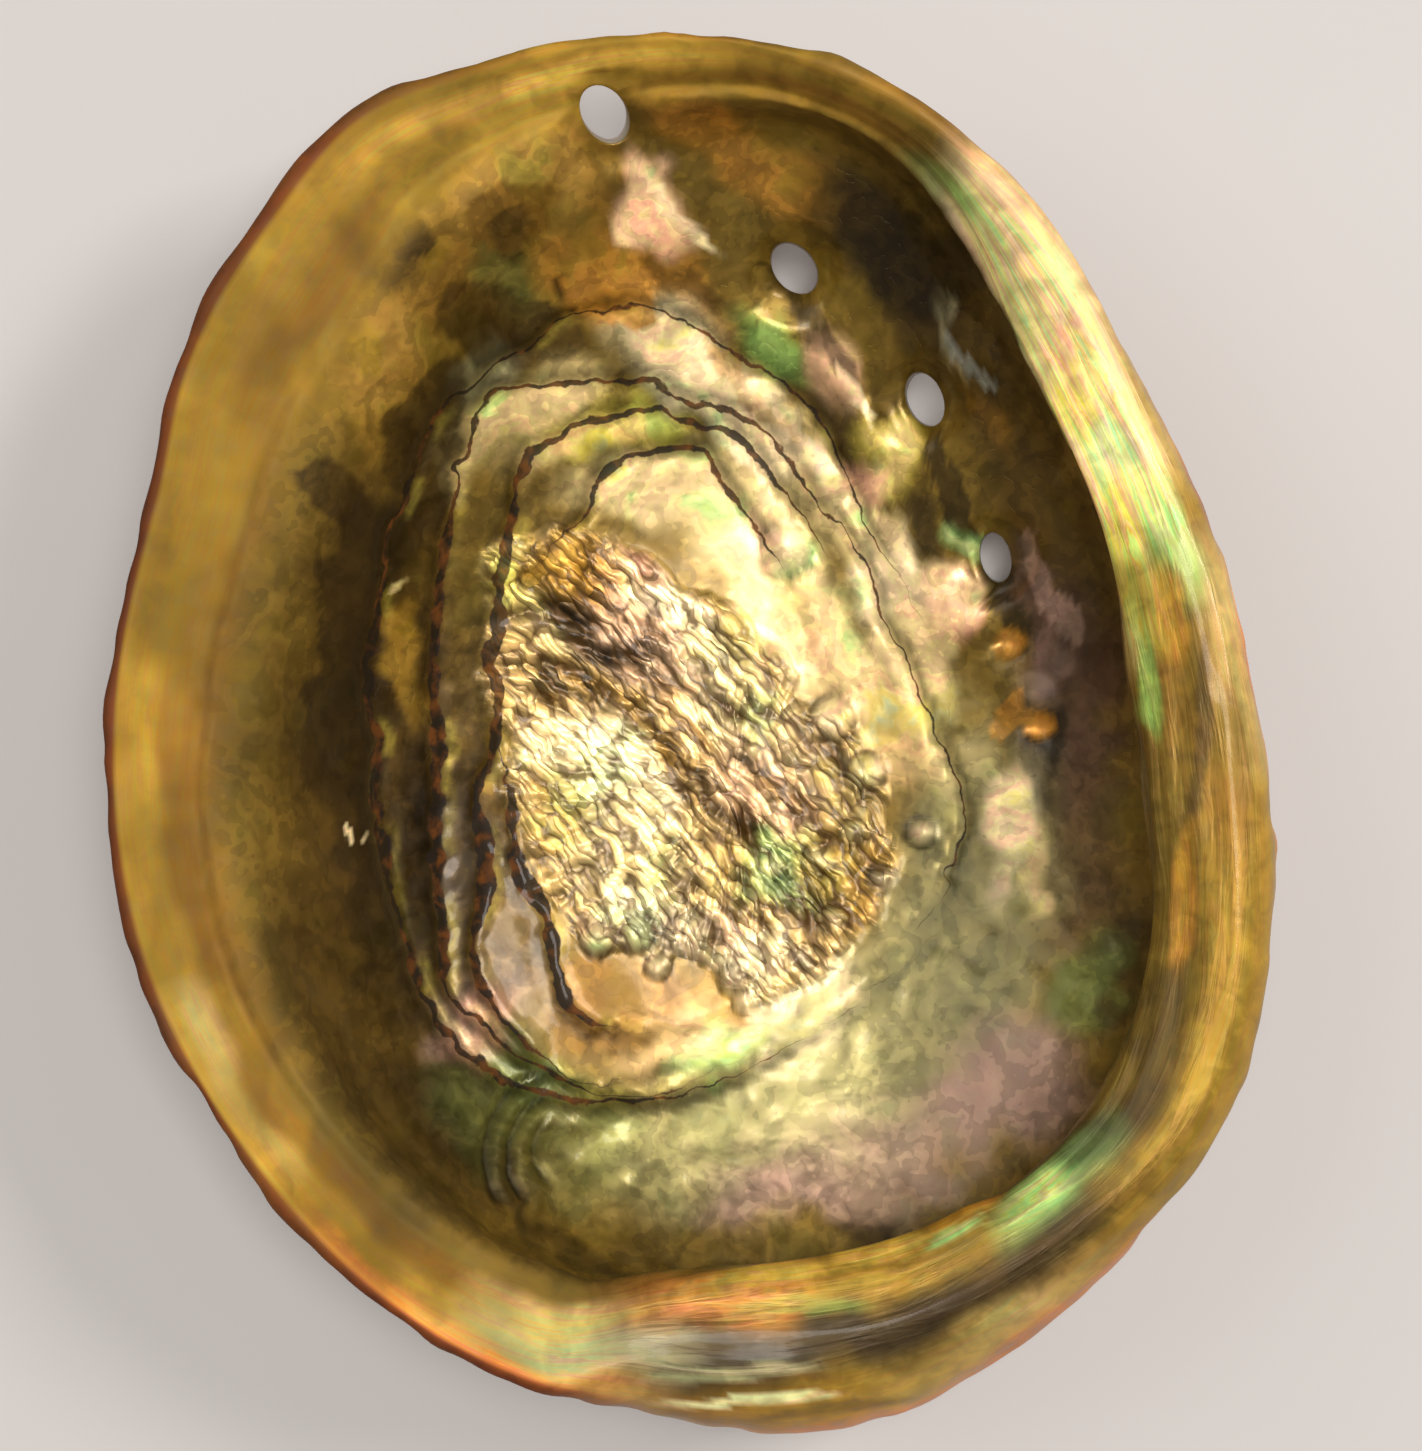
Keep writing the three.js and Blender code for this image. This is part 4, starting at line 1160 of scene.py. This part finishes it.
def nacre_finish():
    """Polished nacre: broad tints with a play of green, rose and gold, dark growth lines, a
    flaky scar, and on the back the streaked red and cream outer layer under a clear polish."""
    finish = Finish("nacre")
    place = finish.add("ShaderNodeTexCoord").outputs["Object"]
    pearl, scar, back = finish.split(finish.attribute("regions"))
    rim, pore, shelf = finish.split(finish.attribute("more_regions"))
    satin, worn = finish.attribute("satin", "Fac"), finish.attribute("worn", "Fac")
    streaks = finish.noise(finish.attribute("rim_grain"), 1.0, 3.0, 0.6)
    rings = finish.noise(finish.attribute("growth_grain"), 1.0, 4.0, 0.4, 0.6)
    mottle = finish.noise(place, 330, 3.0, 0.5)
    lines = growth_line_mask(finish, place)
    flake_tone, flake_rise, flake_reach = flake_cells(finish, place)
    plate = nacre_plates(finish, place)
    plate_share = finish.times(finish.maths("SUBTRACT", 1, rim), 0.6)

    # play of colour, strongest on pearly places and weaker on the scar
    play = play_of_colour(finish, place, streaks, rim)
    play_share = finish.times_plus(pearl, 0.52, 0.08)
    play_share = finish.times(play_share, finish.ramp(scar, 0, 1, 1, 0.45))
    colour = finish.mix(play_share, finish.attribute("tint", "Color"), play, "COLOR")

    # cloudy depth, fine mottling and plates, a little warmer than the tints
    mottled = finish.ramp(mottle, 0.3, 0.7, 0.82, 1.14)
    shade = finish.times(finish.attribute("cloudy", "Fac"), mottled)
    plate_shade = finish.ramp(plate, 0.7, 1.05, 0.78, 1.2)
    shade = finish.times(shade, finish.partly(plate_shade, plate_share))
    colour = finish.shaded(colour, finish.times(shade, 1.01), shade, finish.times(shade, 0.78))

    # dark growth lines
    line_colour = finish.mix(finish.ramp(mottle, 0.42, 0.7), tint("#180e03"), tint("#643609"))
    colour = finish.mix(finish.times(lines, 0.92), colour, line_colour)

    # the scar's flakes, each in its own tone, with painted shade in the crevices between them
    tone = finish.partly(finish.ramp(flake_tone, 0, 1, 0.45, 1.6), scar)
    colour = finish.shaded(colour, tone, tone, tone)
    crevice_shade = finish.times(finish.ramp(flake_reach, 0.42, 0.66), scar)
    colour = finish.mix(finish.times(crevice_shade, 0.8), colour, tint("#4a300a"))

    # the streaked outer layer on the back, and bare shell in the holes' walls
    ring_colour = finish.paint_ramp(rings, [
        (0.32, "maroon"), (0.42, "rust"), (0.48, "orange"), (0.55, "sand"), (0.62, "rust"),
        (0.7, "oyster"),
    ])
    colour = finish.mix(finish.times(back, 0.6), colour, ring_colour)
    colour = finish.mix(finish.times(pore, 0.7), colour, PAINT["oyster"] * 0.8)

    # relief too fine for the mesh, each part with its own height
    height = finish.times(finish.noise(place, 150, 2.0, 0.5), 0.25)
    flakes = finish.times(finish.times_plus(flake_tone, 0.5, flake_rise), scar)
    parts = [(flakes, 0.36), (finish.times(plate, plate_share), 0.07)]
    parts += [(finish.times(rings, back), 0.5), (finish.times(streaks, shelf), 0.3)]
    for part, amount in parts:
        height = finish.times_plus(part, amount, height)
    bump = finish.add("ShaderNodeBump", {"Strength": 0.8, "Distance": 0.0011, "Height": height})

    # polish: satin on the lip's slope, duller lines and shelf, and less metallic on the worn rim
    rough = finish.ramp(mottle, 0.3, 0.7, 0.29, 0.46)
    for part, amount in ((satin, 0.34), (lines, 0.3), (shelf, 0.1)):
        rough = finish.times_plus(part, amount, rough)
    metal = finish.times_plus(worn, -0.4, finish.ramp(pearl, 0, 1, 0.5, 0.25))
    shader = finish.add("ShaderNodeBsdfPrincipled", {
        "Base Color": colour, "Roughness": rough, "Metallic": metal, "Normal": bump.outputs[0],
        "Specular IOR Level": 0.35, "Coat Weight": finish.times_plus(satin, -0.1, 0.1),
        "Coat Roughness": 0.08, "Coat IOR": 1.5,
    })
    finish.add("ShaderNodeOutputMaterial", {"Surface": shader.outputs[0]})
    return finish.material


def floor_finish():
    """Pale matt board."""
    finish = Finish("pale_board")
    place = finish.add("ShaderNodeTexCoord").outputs["Object"]
    cloudy = finish.noise(place, 9, 3.0)
    colour = finish.mix(cloudy, tint("#aca8a5"), tint("#b2aeab"))
    shader = finish.add("ShaderNodeBsdfPrincipled", {"Base Color": colour, "Roughness": 0.6})
    finish.add("ShaderNodeOutputMaterial", {"Surface": shader.outputs[0]})
    return finish.material


# ---- the studio ---------------------------------------------------------------------------


def lay_floor():
    """A pale square floor under the shell, 3 m across."""
    size = 1.5
    corners = [(-size, -size, 0), (size, -size, 0), (size, size, 0), (-size, size, 0)]
    mesh = bpy.data.meshes.new("floor")
    mesh.from_pydata(corners, [], [(0, 1, 2, 3)])
    floor = bpy.data.objects.new("floor", mesh)
    floor.data.materials.append(floor_finish())
    bpy.context.scene.collection.objects.link(floor)


def area_light(name, place, width, height, watts, warmth=(1, 1, 1)):
    """A rectangular light aimed at the middle of the shell."""
    light = bpy.data.lights.new(name, "AREA")
    light.shape = "RECTANGLE"
    light.size, light.size_y = width, height
    light.energy = watts
    light.color = warmth
    lamp = bpy.data.objects.new(name, light)
    lamp.location = place
    aim = Vector((0, 0, 0.02)) - lamp.location
    lamp.rotation_euler = aim.to_track_quat("-Z", "Y").to_euler()
    bpy.context.scene.collection.objects.link(lamp)


def light_studio():
    """A soft room with a light overhead, a key light from the right and a broad fill."""
    world = bpy.data.worlds.new("soft_room")
    world.use_nodes = True
    room = world.node_tree.nodes["Background"].inputs
    room["Color"].default_value = (1, 0.98, 0.95, 1)
    room["Strength"].default_value = 0.3
    bpy.context.scene.world = world
    area_light("overhead", (0.15, 0.1, 2.2), 0.7, 0.7, 36, (1, 0.97, 0.94))
    area_light("key", (1.5, 0.7, 1.9), 0.6, 0.6, 34, (1, 0.97, 0.94))
    area_light("fill", (-1.2, 0.6, 1.7), 1.2, 1.2, 10)


def place_camera():
    """Straight above the shell, with the whole of it filling the view."""
    camera = bpy.data.cameras.new("camera")
    camera.sensor_width = 36
    camera.lens = 96
    camera.clip_start = 0.01
    viewer = bpy.data.objects.new("camera", camera)
    viewer.location = (0.0029, 0.0020, 0.580)
    bpy.context.scene.collection.objects.link(viewer)
    bpy.context.scene.camera = viewer


shell = build_shell()
shell.data.materials.append(nacre_finish())
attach(shell, "root")
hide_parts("shell")
lay_floor()
light_studio()
place_camera()
bpy.context.scene.view_settings.view_transform = "Standard"
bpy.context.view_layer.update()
